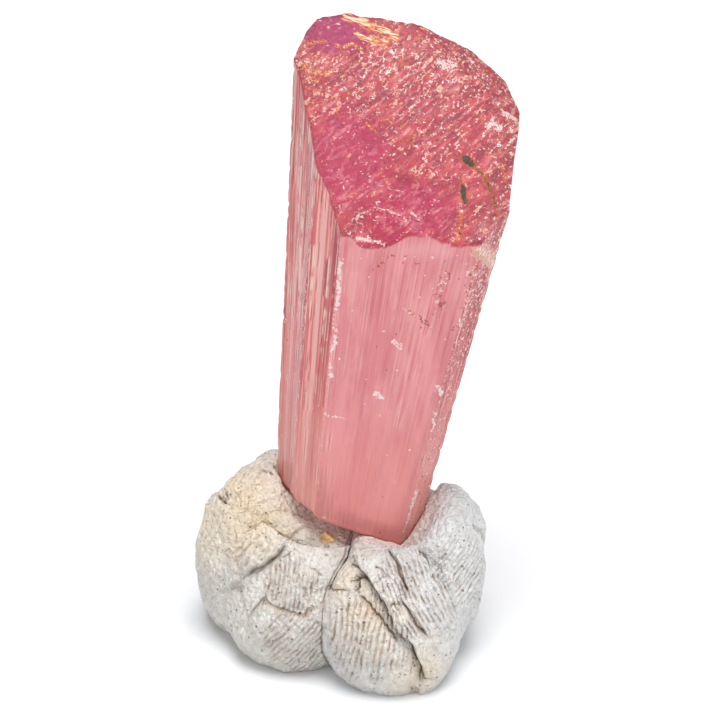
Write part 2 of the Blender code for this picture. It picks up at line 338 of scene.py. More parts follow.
@dataclass(frozen=True)
class Prism:
    """The crystal's long faces, which widen towards its head."""

    head_height: float = 48.0
    spacing: float = 0.175
    seed: int = 7
    groove_spacing: float = 0.42
    hair_spacing: float = 0.21
    edge_wear: float = 0.16
    edge_width: float = 0.3
    chip_spacing: float = 0.55
    faces: tuple[Face, ...] = (
        Face(Side.BROAD, (-4.7, -4.75), (-6.9, -5.8), 11, 0.10, 0.03),
        Face(Side.BEVEL, (3.9, -4.75), (9.1, -6.5), 3, 0.12, 0.07),
        Face(Side.RIGHT, (5.95, -2.9), (12.0, -4.3), 5, 0.25, 0.07),
        Face(Side.RIGHT, (6.0, 1.2), (13.3, 3.3), 3, 0.15, 0.07),
        Face(Side.BACK, (5.3, 3.4), (12.2, 6.4), 2, 0.1, 0.06),
        Face(Side.BACK, (3.4, 4.6), (8.4, 7.7), 6, 0.15, 0.07),
        Face(Side.BACK, (-0.5, 4.9), (1.0, 6.3), 5, 0.15, 0.07),
        Face(Side.BACK, (-3.4, 4.8), (-4.6, 6.65), 2, 0.1, 0.07),
        Face(Side.BACK, (-4.6, 4.6), (-7.6, 6.3), 1, 0.1, 0.07),
        Face(Side.LEFT, (-5.5, 4.1), (-8.9, 5.45), 2, 0.1, 0.08),
        Face(Side.LEFT, (-6.6, 2.8), (-10.2, 4.15), 5, 0.3, 0.06),
        Face(Side.LEFT, (-6.2, -1.3), (-9.0, -1.9), 9, 0.35, 0.07),
    )

    def pairs(self) -> Iterator[tuple[Face, Face]]:
        """Each long face with the one that follows it."""
        return zip(self.faces, self.faces[1:] + self.faces[:1], strict=True)

    def columns(self) -> Columns:
        """Lays out the lines of points round the prism, closest where its grooves are fine."""
        dice = np.random.default_rng(self.seed)
        parts: list[tuple[np.ndarray, ...]] = []
        girth = 0.0
        for face, following in self.pairs():
            sink = face.flute_depth * dice.uniform(0, 1, face.strips)
            sink[0] = 0
            wide = math.dist(face.head, following.head)
            count = max(face.strips, round(wide / self.spacing))
            share = np.arange(count) / count
            depth = np.interp(share * face.strips, np.arange(face.strips + 1), [*sink, 0.0])
            rows = []
            for start, end in ((face.foot, following.foot), (face.head, following.head)):
                along = np.array(end) - start
                inward = np.array([-along[1], along[0]]) / np.linalg.norm(along)
                rows.append(np.array(start) + along * share[:, None] + inward * depth[:, None])
            side, groove = np.full(count, face.side.value), np.full(count, face.groove_depth)
            gap = np.minimum(share, 1 - share) * wide
            parts.append((*rows, np.tile(inward, (count, 1)), girth + share * wide, side, gap, groove))
            girth += wide
        return Columns(*(np.concatenate(values) for values in zip(*parts, strict=True)))

    def spots(self, columns: Columns, height: np.ndarray) -> np.ndarray:
        """Where each line of points is at a height, with its grooves and worn edges.

        Args:
            columns: the lines.
            height: one height w for each line.

        Returns:
            (u, v) for each line.
        """
        place = np.column_stack([columns.girth, height * 0.05, np.zeros(len(height))])
        grooves = 0.5 + 0.5 * noise(place, self.groove_spacing, 11)
        hairs = np.abs(noise(place * [1, 0.5, 1], self.hair_spacing, 12))
        wander = 0.5 + 0.5 * noise(place * [0.5, 4, 1], 1.3, 13)
        sink = columns.groove * (grooves * wander + 0.5 * hairs)
        place = np.column_stack([columns.girth, height, columns.side * 5.0])
        chips = ease(noise(place, self.chip_spacing, 14), -0.1, 0.9)
        sink = sink + self.edge_wear * chips * np.exp(-((columns.corner_gap / self.edge_width) ** 2))
        base = columns.foot + (columns.head - columns.foot) * (height / self.head_height)[:, None]
        return base + columns.inward * sink[:, None]

    def clearance(self, points: np.ndarray, keel: "LowerEnd") -> np.ndarray:
        """How far points are outside the crystal's plain lower half; negative where they are inside.

        Args:
            points: (u, v, w) of each point.
            keel: the crystal's lower end.

        Returns:
            Distances in millimetres.
        """
        share = np.zeros(len(points))
        beyond = np.full(len(points), -np.inf)
        rise = (points[:, 2] / self.head_height)[:, None]
        for pair in self.pairs():
            start, end = (np.array(face.foot) + (np.array(face.head) - face.foot) * rise for face in pair)
            along = end - start
            length = np.linalg.norm(along, axis=1)
            middle = (start[:, 0] * along[:, 1] - start[:, 1] * along[:, 0]) / length
            place = (points[:, 0] * along[:, 1] - points[:, 1] * along[:, 0]) / length
            share = np.maximum(share, place / middle)
            beyond = np.maximum(beyond, place - middle)
        return np.maximum(beyond, keel.height(points[:, 0], share) - points[:, 2])


@dataclass(frozen=True)
class LowerEnd:
    """The crystal's worn lower end: a slope that is lowest under deepest_u and curls up to its right."""

    deepest_u: float = 3.9
    slope_left: float = 0.33
    curl_right: float = 0.1
    rim: float = -0.1
    bulge: float = 0.8
    flat_share: float = 0.55

    def height(self, u: np.ndarray, share: np.ndarray | float) -> np.ndarray:
        """Height of the end, which is flat in the middle and rounded towards its rim.

        Args:
            u: places along the broad face.
            share: how far out they are, from 0 in the middle to 1 at the rim.

        Returns:
            Heights w.
        """
        left, right = np.maximum(self.deepest_u - u, 0), np.maximum(u - self.deepest_u, 0)
        slope = self.slope_left * left + self.curl_right * right**2
        bend = np.clip((share - self.flat_share) / (1 - self.flat_share), 0, 1)
        return slope + self.rim - self.bulge * np.sqrt(1 - bend**2)


@dataclass(frozen=True)
class Scar:
    """A round place on the upper rim that stands proud or, with a negative height, is chipped away."""

    u: float
    v: float
    radius: float
    height: float


@dataclass(frozen=True)
class UpperEnd:
    """The crystal's upper end: a steep face that looks forwards and a flatter one that falls rightwards."""

    front_height: float = 30.2
    front_v: float = -5.9
    slope: float = 1.42
    shoulder_height: float = 46.4
    shoulder_at: Pair = (3.9, 6.4)
    shoulder_slopes: Pair = (-0.52, 0.5)
    shoulder_blend: float = 0.8
    ledge_centre: Pair = (-2.5, -7.2)
    ledge_stretch: float = 1.25
    ledge_radii: tuple[float, ...] = (1.5, 2.6, 3.8, 5.2)
    ledge_step: float = 0.3
    ledge_width: float = 0.4
    ridge_bearing: float = 27.0
    ridge_spacing: float = 2.1
    ridge_height: float = 0.1
    fine_ridge_spacing: float = 0.5
    fine_ridge_height: float = 0.13
    grain_spacing: float = 0.34
    pit_spacing: float = 0.8
    pit_radius: float = 0.2
    pit_depth: float = 0.16
    scars: tuple[Scar, ...] = (
        Scar(-3.9, -5.8, 1.0, -1.0),
        Scar(-2.6, -5.9, 1.0, -0.75),
        Scar(-1.5, -6.0, 0.8, -0.6),
        Scar(1.4, -6.1, 1.8, 0.75),
        Scar(4.7, -6.1, 0.8, -0.3),
        Scar(8.6, -6.3, 1.1, 0.9),
    )

    def planes(self, u: np.ndarray, v: np.ndarray) -> tuple[np.ndarray, np.ndarray]:
        """Heights of the steep face's plane and of the flatter one's.

        Args:
            u: places along the broad face.
            v: places towards the back.

        Returns:
            The two heights w.
        """
        steep = self.front_height + self.slope * (v - self.front_v)
        shoulder = self.shoulder_height + self.shoulder_slopes[0] * (u - self.shoulder_at[0])
        return steep, shoulder + self.shoulder_slopes[1] * (v - self.shoulder_at[1])

    def coarse(self, u: np.ndarray, v: np.ndarray) -> np.ndarray:
        """Height of the end's planes, ledges, growth ridges and rim scars.

        Args:
            u: places along the broad face.
            v: places towards the back.

        Returns:
            Heights w.
        """
        steep, shoulder = self.planes(u, v)
        reach = self.reach(u, v)
        rises = (np.clip((reach - radius) / self.ledge_width, -0.5, 0.5) for radius in self.ledge_radii)
        ledges = sum(self.ledge_step * rise for rise in rises)
        ledges = ledges - self.ledge_step * np.clip((reach - self.ledge_radii[0]) / 2.0, -0.5, 2.0)
        ridges = np.abs((self.across(u, v) / self.ridge_spacing) % 1.0 - 0.5) * 2 - 0.5
        height = smooth_least(steep, shoulder, self.shoulder_blend) + ledges
        height = height + self.ridge_height * ridges * np.clip(reach / 4 - 1, 0, 1) * ease(v, 6.2, 4.4)
        for scar in self.scars:
            height = height + scar.height * np.exp(-((u - scar.u) ** 2 + (v - scar.v) ** 2) / scar.radius**2)
        return height

    def reach(self, u: np.ndarray, v: np.ndarray) -> np.ndarray:
        """Distance from the middle of the curved ledges, which are wider than they are deep."""
        return np.hypot((u - self.ledge_centre[0]) / self.ledge_stretch, v - self.ledge_centre[1])

    def across(self, u: np.ndarray, v: np.ndarray) -> np.ndarray:
        """Distance across the growth ridges."""
        bearing = math.radians(self.ridge_bearing)
        return v * math.cos(bearing) - u * math.sin(bearing)

    def shoulder_share(self, u: np.ndarray, v: np.ndarray) -> np.ndarray:
        """1 on the flatter, sugary face at the right, 0 on the steep one."""
        steep, shoulder = self.planes(u, v)
        return ease(steep - shoulder, -1.6, 0.6)

    def etching(self, u: np.ndarray, v: np.ndarray) -> np.ndarray:
        """Fine relief, all of it cut in: growth lines, etched pits and the rough grain of the shoulder.

        Args:
            u: places along the broad face.
            v: places towards the back.

        Returns:
            Depths in millimetres.
        """
        spot = np.column_stack([u, v * 1.5, np.zeros(len(u))])
        rough = self.shoulder_share(u, v)
        wavy = self.across(u, v) + 0.25 * noise(spot, 2.0, 21)
        lines = np.abs(wavy / self.fine_ridge_spacing % 1.0 - 0.5) * 2
        calm = ease(noise(spot, 3.5, 22) + ease(v, -1.5, 2.5) * 1.4, 0.1, 1.0)
        cut = self.fine_ridge_height * lines * (0.25 + 0.75 * calm)
        grain = 0.5 + 0.5 * noise(spot, self.grain_spacing, 23)
        cut = cut + (0.06 + 0.2 * rough + 0.16 * calm) * grain * (0.5 + 0.5 * noise(spot, 0.9, 24))
        distance, own = nearest_pit(spot, self.pit_spacing, 25)
        pits = self.pit_depth * np.exp(-((distance / self.pit_radius) ** 2))
        cut = cut + pits * ease(own, 0.0, 0.6) * (0.3 + 0.7 * calm)
        return cut * (1 - 0.75 * self.tip_share(u, v))

    def tip_share(self, u: np.ndarray, v: np.ndarray) -> np.ndarray:
        """1 on the smooth violet tip and its back rim, 0 elsewhere."""
        return np.maximum(ease(np.hypot((u + 6.0) / 4.2, (v - 5.9) / 1.7), 1.25, 0.5), ease(v, 5.0, 6.4))


@dataclass(frozen=True)
class Mark:
    """A stain, bruise or inclusion of the upper end, along a path of (u, v) places."""

    path: tuple[Pair, ...]
    width: float
    strength: float = 1.0


@dataclass
class Crystal:
    """The grown crystal: one closed skin over its prism and both ends."""

    axes: CrystalAxes = field(default_factory=CrystalAxes)
    prism: Prism = field(default_factory=Prism)
    lower: LowerEnd = field(default_factory=LowerEnd)
    upper: UpperEnd = field(default_factory=UpperEnd)
    keel_rings: int = 14
    shaft_rings: int = 118
    end_rings: int = 100
    rim_rounding: float = 0.2
    rim_crowding: float = 0.85
    settle_rounds: int = 10
    rust: tuple[Mark, ...] = (
        Mark(((-4.8, 6.3), (-3.9, 6.2), (-2.9, 6.0), (-2.0, 5.8), (-0.8, 5.6), (-0.1, 5.3)), 0.75, 0.95),
        Mark(((-3.8, 5.4), (-3.0, 5.2), (-1.9, 5.1), (-1.1, 5.0)), 0.6, 0.9),
    )
    rusty_pits: tuple[Mark, ...] = (
        Mark(((-9.5, 3.3), (-8.9, 3.5), (-8.2, 3.2), (-7.5, 3.1), (-6.5, 3.2)), 0.4),
        Mark(((-5.9, 4.7), (-5.2, 4.6), (-4.4, 4.8), (-3.5, 4.6)), 0.3),
        Mark(((-8.8, 4.6), (-8.1, 4.8), (-6.9, 4.9)), 0.35, 0.9),
        Mark(((-8.2, 3.9), (-7.2, 4.0), (-6.7, 4.0)), 0.3, 0.85),
        Mark(((-9.4, 2.4), (-8.5, 2.8), (-7.7, 2.7)), 0.35, 0.9),
        Mark(((-8.5, 1.4), (-7.1, 1.6), (-5.7, 1.9), (-4.5, 2.1)), 0.35, 0.72),
        Mark(((-3.3, 0.5), (-3.0, 0.3), (-2.3, 0.0)), 0.2, 0.9),
        Mark(((-1.9, 0.7), (-1.3, 0.8), (-0.9, 0.6)), 0.2, 0.9),
        Mark(((-1.0, 3.2), (-0.2, 3.2)), 0.3, 0.8),
        Mark(((-6.0, 0.9), (-5.6, 2.0)), 0.3, 0.8),
        Mark(((-0.4, -0.4), (0.8, -0.2), (2.6, 0.3)), 0.6, 0.62),
        Mark(((5.3, -4.0), (5.2, -4.6), (5.0, -5.5)), 0.35, 0.9),
        Mark(((9.5, -1.4), (9.9, -2.4)), 0.4, 0.8),
    )
    clay: tuple[Mark, ...] = (
        Mark(((6.0, -1.25), (6.5, -1.5)), 0.66, 1.2),
        Mark(((6.8, -1.6), (7.2, -1.8), (7.7, -2.1)), 0.42, 0.86),
        Mark(((7.7, -2.1), (8.1, -2.6), (8.3, -3.0)), 0.5, 0.9),
        Mark(((8.5, -3.2), (8.7, -3.7)), 0.3, 0.95),
        Mark(((8.8, -4.1), (8.8, -4.8), (8.9, -5.4)), 0.3, 0.82),
        Mark(((5.65, -2.8), (5.65, -3.2), (5.75, -3.5)), 0.52, 1.15),
        Mark(((5.4, -2.2), (5.5, -2.5)), 0.24, 0.86),
        Mark(((5.2, -4.3), (5.0, -4.8)), 0.26, 0.85),
        Mark(((5.1, -5.2), (5.3, -5.3)), 0.32, 0.95),
        Mark(((4.7, -5.6), (4.8, -5.7)), 0.26, 0.95),
        Mark(((-0.3, 0.4), (0.3, 0.5)), 0.26, 0.9),
        Mark(((0.8, -0.2), (1.1, -0.6)), 0.26, 0.9),
        Mark(((2.6, 0.3), (2.7, 0.1)), 0.26, 0.9),
    )
    frost: tuple[Mark, ...] = (
        Mark(((4.0, 4.1), (4.8, 3.9), (5.5, 4.1)), 0.8),
        Mark(((5.1, 3.0), (5.8, 3.1)), 0.6, 0.8),
        Mark(((9.5, 2.5), (10.3, 2.5)), 0.5, 0.9),
        Mark(((10.1, 1.6), (11.1, 1.5), (11.8, 1.2)), 0.7),
        Mark(((8.4, 0.7), (9.1, 0.8), (9.5, 0.6)), 0.7),
        Mark(((12.0, 2.6), (11.6, 0.0), (11.2, -1.4), (10.6, -2.8), (9.8, -4.2), (9.1, -5.6)), 0.7, 0.72),
        Mark(((-5.4, -0.8), (-4.4, -0.1), (-3.7, 0.4), (-2.8, 0.8)), 0.6, 0.66),
        Mark(((3.2, -0.4), (7.0, 1.2), (11.0, 3.1)), 0.5, 0.6),
        Mark(((-7.7, 6.0), (-7.1, 6.0)), 0.16),
        Mark(((-5.8, 5.9), (-5.4, 5.9)), 0.18),
        Mark(((-4.5, -5.3), (-3.6, -5.2), (-2.7, -5.3), (-1.9, -5.5)), 0.4, 0.95),
        Mark(((5.3, -3.8), (5.4, -4.2)), 0.3, 0.9),
    )
    lip: tuple[Mark, ...] = (
        Mark(((-4.8, -5.8), (-4.2, -5.6), (-3.6, -5.6), (-2.5, -5.7), (-1.4, -5.8), (-0.9, -5.8)), 0.3),
    )
    # Painted highlights: pale arcs along the curved ledges of the upper end, for the light that their rims
    # catch.
    arc_highlights: tuple[Mark, ...] = (
        Mark(((-5.0, -4.6), (-3.6, -4.2), (-2.0, -4.1), (-0.2, -4.3), (1.4, -4.7)), 1.1),
        Mark(((-2.8, -3.0), (-1.6, -2.8), (-0.2, -3.0)), 0.8, 0.85),
    )
    crack: tuple[Mark, ...] = (
        Mark(((-2.6, 27.4), (-1.2, 28.6), (1.4, 28.4), (4.4, 28.6), (5.7, 28.2)), 0.9, 0.9),
        Mark(((4.0, 27.0), (3.6, 25.4), (4.2, 23.6)), 1.5),
        Mark(((6.4, 27.6), (7.0, 25.0), (6.6, 22.0)), 1.6),
        Mark(((0.6, 23.5), (2.1, 23.1), (3.8, 21.8)), 0.4, 1.1),
        Mark(((2.5, 12.0), (2.3, 9.8), (2.8, 9.1)), 0.4, 0.8),
    )
    # The chip marks paint small chips white: partly their own bruised white, partly painted glint off their
    # faces.
    chip: tuple[Mark, ...] = (
        Mark(((-0.5, 15.1), (0.2, 14.8)), 0.45),
        Mark(((0.3, 20.4), (1.2, 19.8)), 0.6, 0.9),
        Mark(((5.9, 16.0), (6.6, 15.4)), 0.6),
        Mark(((-6.1, 13.1), (-5.2, 12.7), (-4.3, 12.7), (-3.4, 12.5)), 0.3, 0.9),
        Mark(((-5.6, 27.9), (-5.6, 26.7), (-5.5, 24.3), (-5.5, 23.4)), 0.5, 0.95),
        Mark(((-6.2, 22.6), (-5.8, 21.9), (-5.4, 21.2), (-5.4, 19.9), (-6.0, 18.7), (-5.4, 16.7)), 0.5, 0.9),
        Mark(((6.4, 13.5), (6.7, 11.6)), 0.5, 0.9),
        Mark(((6.9, 5.3), (6.8, 4.2), (6.6, 2.2)), 0.6, 0.95),
        Mark(((-5.4, 2.4), (-4.5, 2.6), (-3.6, 1.9)), 0.3, 0.9),
    )
    pale: tuple[Mark, ...] = (Mark(((0.4, 29.3), (2.0, 29.6), (3.6, 29.3)), 0.9),)
    bleached: tuple[Mark, ...] = (Mark(((6.4, 29.7), (7.6, 28.9), (8.8, 27.9)), 1.0),)
    sheen: tuple[Mark, ...] = (
        Mark(((-5.0, 10.4), (-4.8, 7.4), (-4.5, 4.3), (-3.8, 2.3)), 0.6),
        Mark(((-6.5, 11.9), (-6.3, 9.4), (-6.3, 7.4), (-5.6, 5.3)), 0.5),
        Mark(((-5.6, 14.0), (-5.4, 20.0), (-5.2, 27.0)), 0.4, 0.5),
        Mark(((2.6, 12.0), (2.9, 18.0), (3.2, 24.0)), 0.5, 0.45),
    )

    def rings(self) -> tuple[np.ndarray, Columns, np.ndarray]:
        """Works out the skin's points ring by ring, from the lower end's middle to the upper end's.

        Returns:
            Points (ring, line, uvw), the lines, and each ring's share of the upper end, 0 on the sides.
        """
        columns = self.prism.columns()
        count = len(columns.girth)
        rings: list[np.ndarray] = []
        rim_low = self.prism.spots(columns, np.zeros(count))
        for step in range(1, self.keel_rings + 1):
            share = step / self.keel_rings
            spot = rim_low * share
            rings.append(np.column_stack([spot, self.lower.height(spot[:, 0], share)]))
        low = rings[-1][:, 2]
        high = np.full(count, self.upper.front_height)
        for _ in range(self.settle_rounds):
            rim = self.prism.spots(columns, high)
            high = self.upper.coarse(*rim.T) - self.upper.etching(*rim.T) - self.rim_rounding
        for step in range(1, self.shaft_rings + 1):
            height = low + (high - low) * step / self.shaft_rings
            rings.append(np.column_stack([self.prism.spots(columns, height), height]))
        spread = (columns.head - columns.foot) / self.prism.head_height
        ends = [0.0] * (self.keel_rings + self.shaft_rings - 1) + [1.0]
        for step in range(self.end_rings - 1, 0, -1):
            share = (step / self.end_rings) ** self.rim_crowding
            height = high.copy()
            for _ in range(self.settle_rounds - 2):
                spot = (rim + spread * (height - high)[:, None]) * share
                height = self.upper.coarse(*spot.T)
            height = height - self.upper.etching(*spot.T)
            rings.append(np.column_stack([spot, height]))
            ends.append(1.0)
        return np.array(rings), columns, np.array(ends)

    def nearness(self, points: np.ndarray, marks: tuple[Mark, ...]) -> np.ndarray:
        """How strongly marks show at points of the skin.

        Args:
            points: (u, v, w) of each point of the upper end, or (u, w) of each point of the long faces.
            marks: the marks.

        Returns:
            0 away from every mark, rising to its strength on it.
        """
        shown = np.zeros(len(points))
        for mark in marks:
            path = np.array(mark.path)
            if points.shape[1] == 3:
                path = np.column_stack([path, self.upper.coarse(*path.T)])
            distance = path_distance(points, path)[0]
            shown = np.maximum(shown, mark.strength * np.exp(-((distance / mark.width) ** 2)))
        return shown

    def build(self) -> bpy.types.Object:
        """Makes the crystal's closed mesh, with the fields that its finish reads."""
        rings, columns, ends = self.rings()
        count = len(columns.girth)
        points = np.vstack([rings.reshape(-1, 3), rings[0].mean(0), rings[-1].mean(0)])
        numbers = np.arange(len(rings) * count).reshape(len(rings), count)
        beside = np.roll(numbers, -1, axis=1)
        quads = np.stack([numbers[:-1], beside[:-1], beside[1:], numbers[1:]], axis=-1)
        bottom, top = len(points) - 2, len(points) - 1
        faces = quads.reshape(-1, 4).tolist()
        faces += [(b, a, bottom) for a, b in zip(numbers[0].tolist(), beside[0].tolist(), strict=True)]
        faces += [(a, b, top) for a, b in zip(numbers[-1].tolist(), beside[-1].tolist(), strict=True)]
        waist = (columns.foot + columns.head) / 2
        by_line = ((columns.side, 0), (columns.corner_gap, FAR), (waist[:, 0], 0.0), (waist[:, 1], 0.0))
        side, gap, line_u, line_v = (
            np.append(np.tile(values, len(rings)), [middle, middle]) for values, middle in by_line
        )
        fields = self.fields(points, np.append(np.repeat(ends, count), [0.0, 1.0]), side, gap, line_u)
        fields |= {"line_u": line_u, "line_v": line_v}
        low, high = (np.array(corner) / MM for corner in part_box("crystal"))
        placed = np.clip(self.axes.out(points), low, high)
        return make_piece("crystal_skin", placed, faces, fields, crease=50)

    def fields(
        self, points: np.ndarray, end: np.ndarray, side: np.ndarray, gap: np.ndarray, line_u: np.ndarray
    ) -> dict[str, np.ndarray]:
        """Works out what the finish reads at each point of the skin.

        Args:
            points: (u, v, w) of each point.
            end: 1 on the upper end, 0 on the long faces.
            side: the Side of each point's long face, as its value.
            gap: distances from the nearest corner between long faces.
            line_u: how far right each point's line stands at the crystal's waist.

        Returns:
            Numbers for each point, by field name.
        """
        u, v, w = points.T
        broad, bevel, left = (side == kind.value for kind in (Side.BROAD, Side.BEVEL, Side.LEFT))
        front = (broad | bevel) * (1 - end)
        violet = self.upper.tip_share(u, v) * ease(u, -1.5, -3.5)
        pool = ease(np.hypot((u + 5.2) / 4.8, (v + 1.4) / 3.2), 1.2, 0.35)
        pool = np.maximum(pool, ease(np.hypot((u - 0.6) / 4.4, (v + 4.2) / 1.9), 1.3, 0.4))
        worn = np.exp(-((gap / 0.4) ** 2)) * front * bevel + np.exp(-((gap / 0.7) ** 2)) * front
        clumps = ease(noise(points, 1.6, 61), 0.05, 0.6) * ease(noise(points, 0.5, 62), -0.4, 0.4)
        rim = ease(u, 7.0, 11.0) * end
        fields = {
            "upper_end": end,
            "left_side": left * (1 - end),
            "right_side": bevel * (1 - end),
            "long_edge": np.exp(-((gap / 0.35) ** 2)) * (1 - end),
            "violet": violet * end,
            "magenta": pool * end,
            "sugar": np.maximum(ease(v, 0.3, 4.5), ease(u, 6.0, 11.0)) * (1 - violet) * end,
            "splintered": np.clip((worn + 0.5 * rim) * clumps, 0, 1),
            "ledge_reach": self.upper.reach(u, v),
        }
        for labels, places, shown in (
            (("rust", "rusty_pits", "clay", "frost", "lip", "arc_highlights"), points, end),
            (("crack", "chip", "pale", "bleached", "sheen"), np.column_stack([line_u, w]), front),
        ):
            for label in labels:
                fields[label] = self.nearness(places, getattr(self, label)) * shown
        return fields


# ---------------------------------------------------------------- the putty


def heading(azimuth: float, elevation: float) -> np.ndarray:
    """The direction of an azimuth, from -Y towards +X, and an elevation, in degrees."""
    azimuth, elevation = math.radians(azimuth), math.radians(elevation)
    flat = math.cos(elevation)
    return np.array([math.sin(azimuth) * flat, -math.cos(azimuth) * flat, math.sin(elevation)])


def rounded_path(corners: list[np.ndarray], steps: int = 5) -> np.ndarray:
    """A smooth path through corners, by Catmull and Rom's rule.

    Args:
        corners: the corners.
        steps: pieces between one corner and the next.

    Returns:
        The smooth path's points.
    """
    knots = [2 * corners[0] - corners[1], *corners, 2 * corners[-1] - corners[-2]]
    out = []
    for a, b, c, d in zip(knots, knots[1:], knots[2:], knots[3:], strict=False):
        for t in np.arange(steps) / steps:
            knot = 2 * b + (c - a) * t + (2 * a - 5 * b + 4 * c - d) * t**2
            out.append(0.5 * (knot + (3 * b - a - 3 * c + d) * t**3))
    return np.array([*out, corners[-1]])


@dataclass(frozen=True)
class Lobe:
    """One rounded lump of a wad: an ellipsoid, turned about Z and then leaning towards +X, in degrees."""

    centre: Place
    radii: Place
    turn: float = 0.0
    lean: float = 0.0

    def reach(self, heart: np.ndarray, ways: np.ndarray) -> np.ndarray:
        """How far each way from the heart leaves the lobe, which holds the heart."""
        turn = Matrix.Rotation(-math.radians(self.turn), 3, "Z")
        axes = np.array(Matrix.Rotation(-math.radians(self.lean), 3, "Y") @ turn)
        start = axes @ (heart - self.centre) / self.radii
        along = ways @ axes.T / self.radii
        a, b, c = (along**2).sum(1), along @ start, start @ start - 1
        return (-b + np.sqrt(np.maximum(b * b - a * c, 0))) / a


@dataclass(frozen=True)
class SoftSpot:
    """A soft round place on a wad, in degrees from its heart: a rise, a dent or a tint, by its amount."""

    azimuth: float
    elevation: float
    amount: float
    spread: float

    def over(self, ways: np.ndarray) -> np.ndarray:
        """How much of it there is in each direction."""
        angle = np.degrees(np.arccos(np.clip(ways @ heading(self.azimuth, self.elevation), -1, 1)))
        return self.amount * np.exp(-((angle / self.spread) ** 2))


@dataclass(frozen=True)
class Fold:
    """A crease through (azimuth, elevation) places, seen from a wad's heart.

    lift raises the putty on the crease's left, looking along it from outside, as a lap over the other side.
    cut is the depth of the thin line at its bottom, and the last number how much grime and painted shade
    darken it.
    """

    path: tuple[Pair, ...]
    depth: float
    width: float
    lift: float = 0.0
    cut: float = 0.3
    grime_and_shade: float = 0.8


@dataclass(frozen=True)
class Print:
    """A patch of finger-print ridges, which bend round a far whorl."""

    azimuth: float
    elevation: float
    radius: float
    whorl: Place
    height: float = 0.055
    pitch: float = 0.48


@dataclass(frozen=True)
class Pebbles:
    """A patch of small round bumps, where the putty was squeezed into crumbs."""

    azimuth: float
    elevation: float
    radius: float
    spacing: float = 0.5
    height: float = 0.1


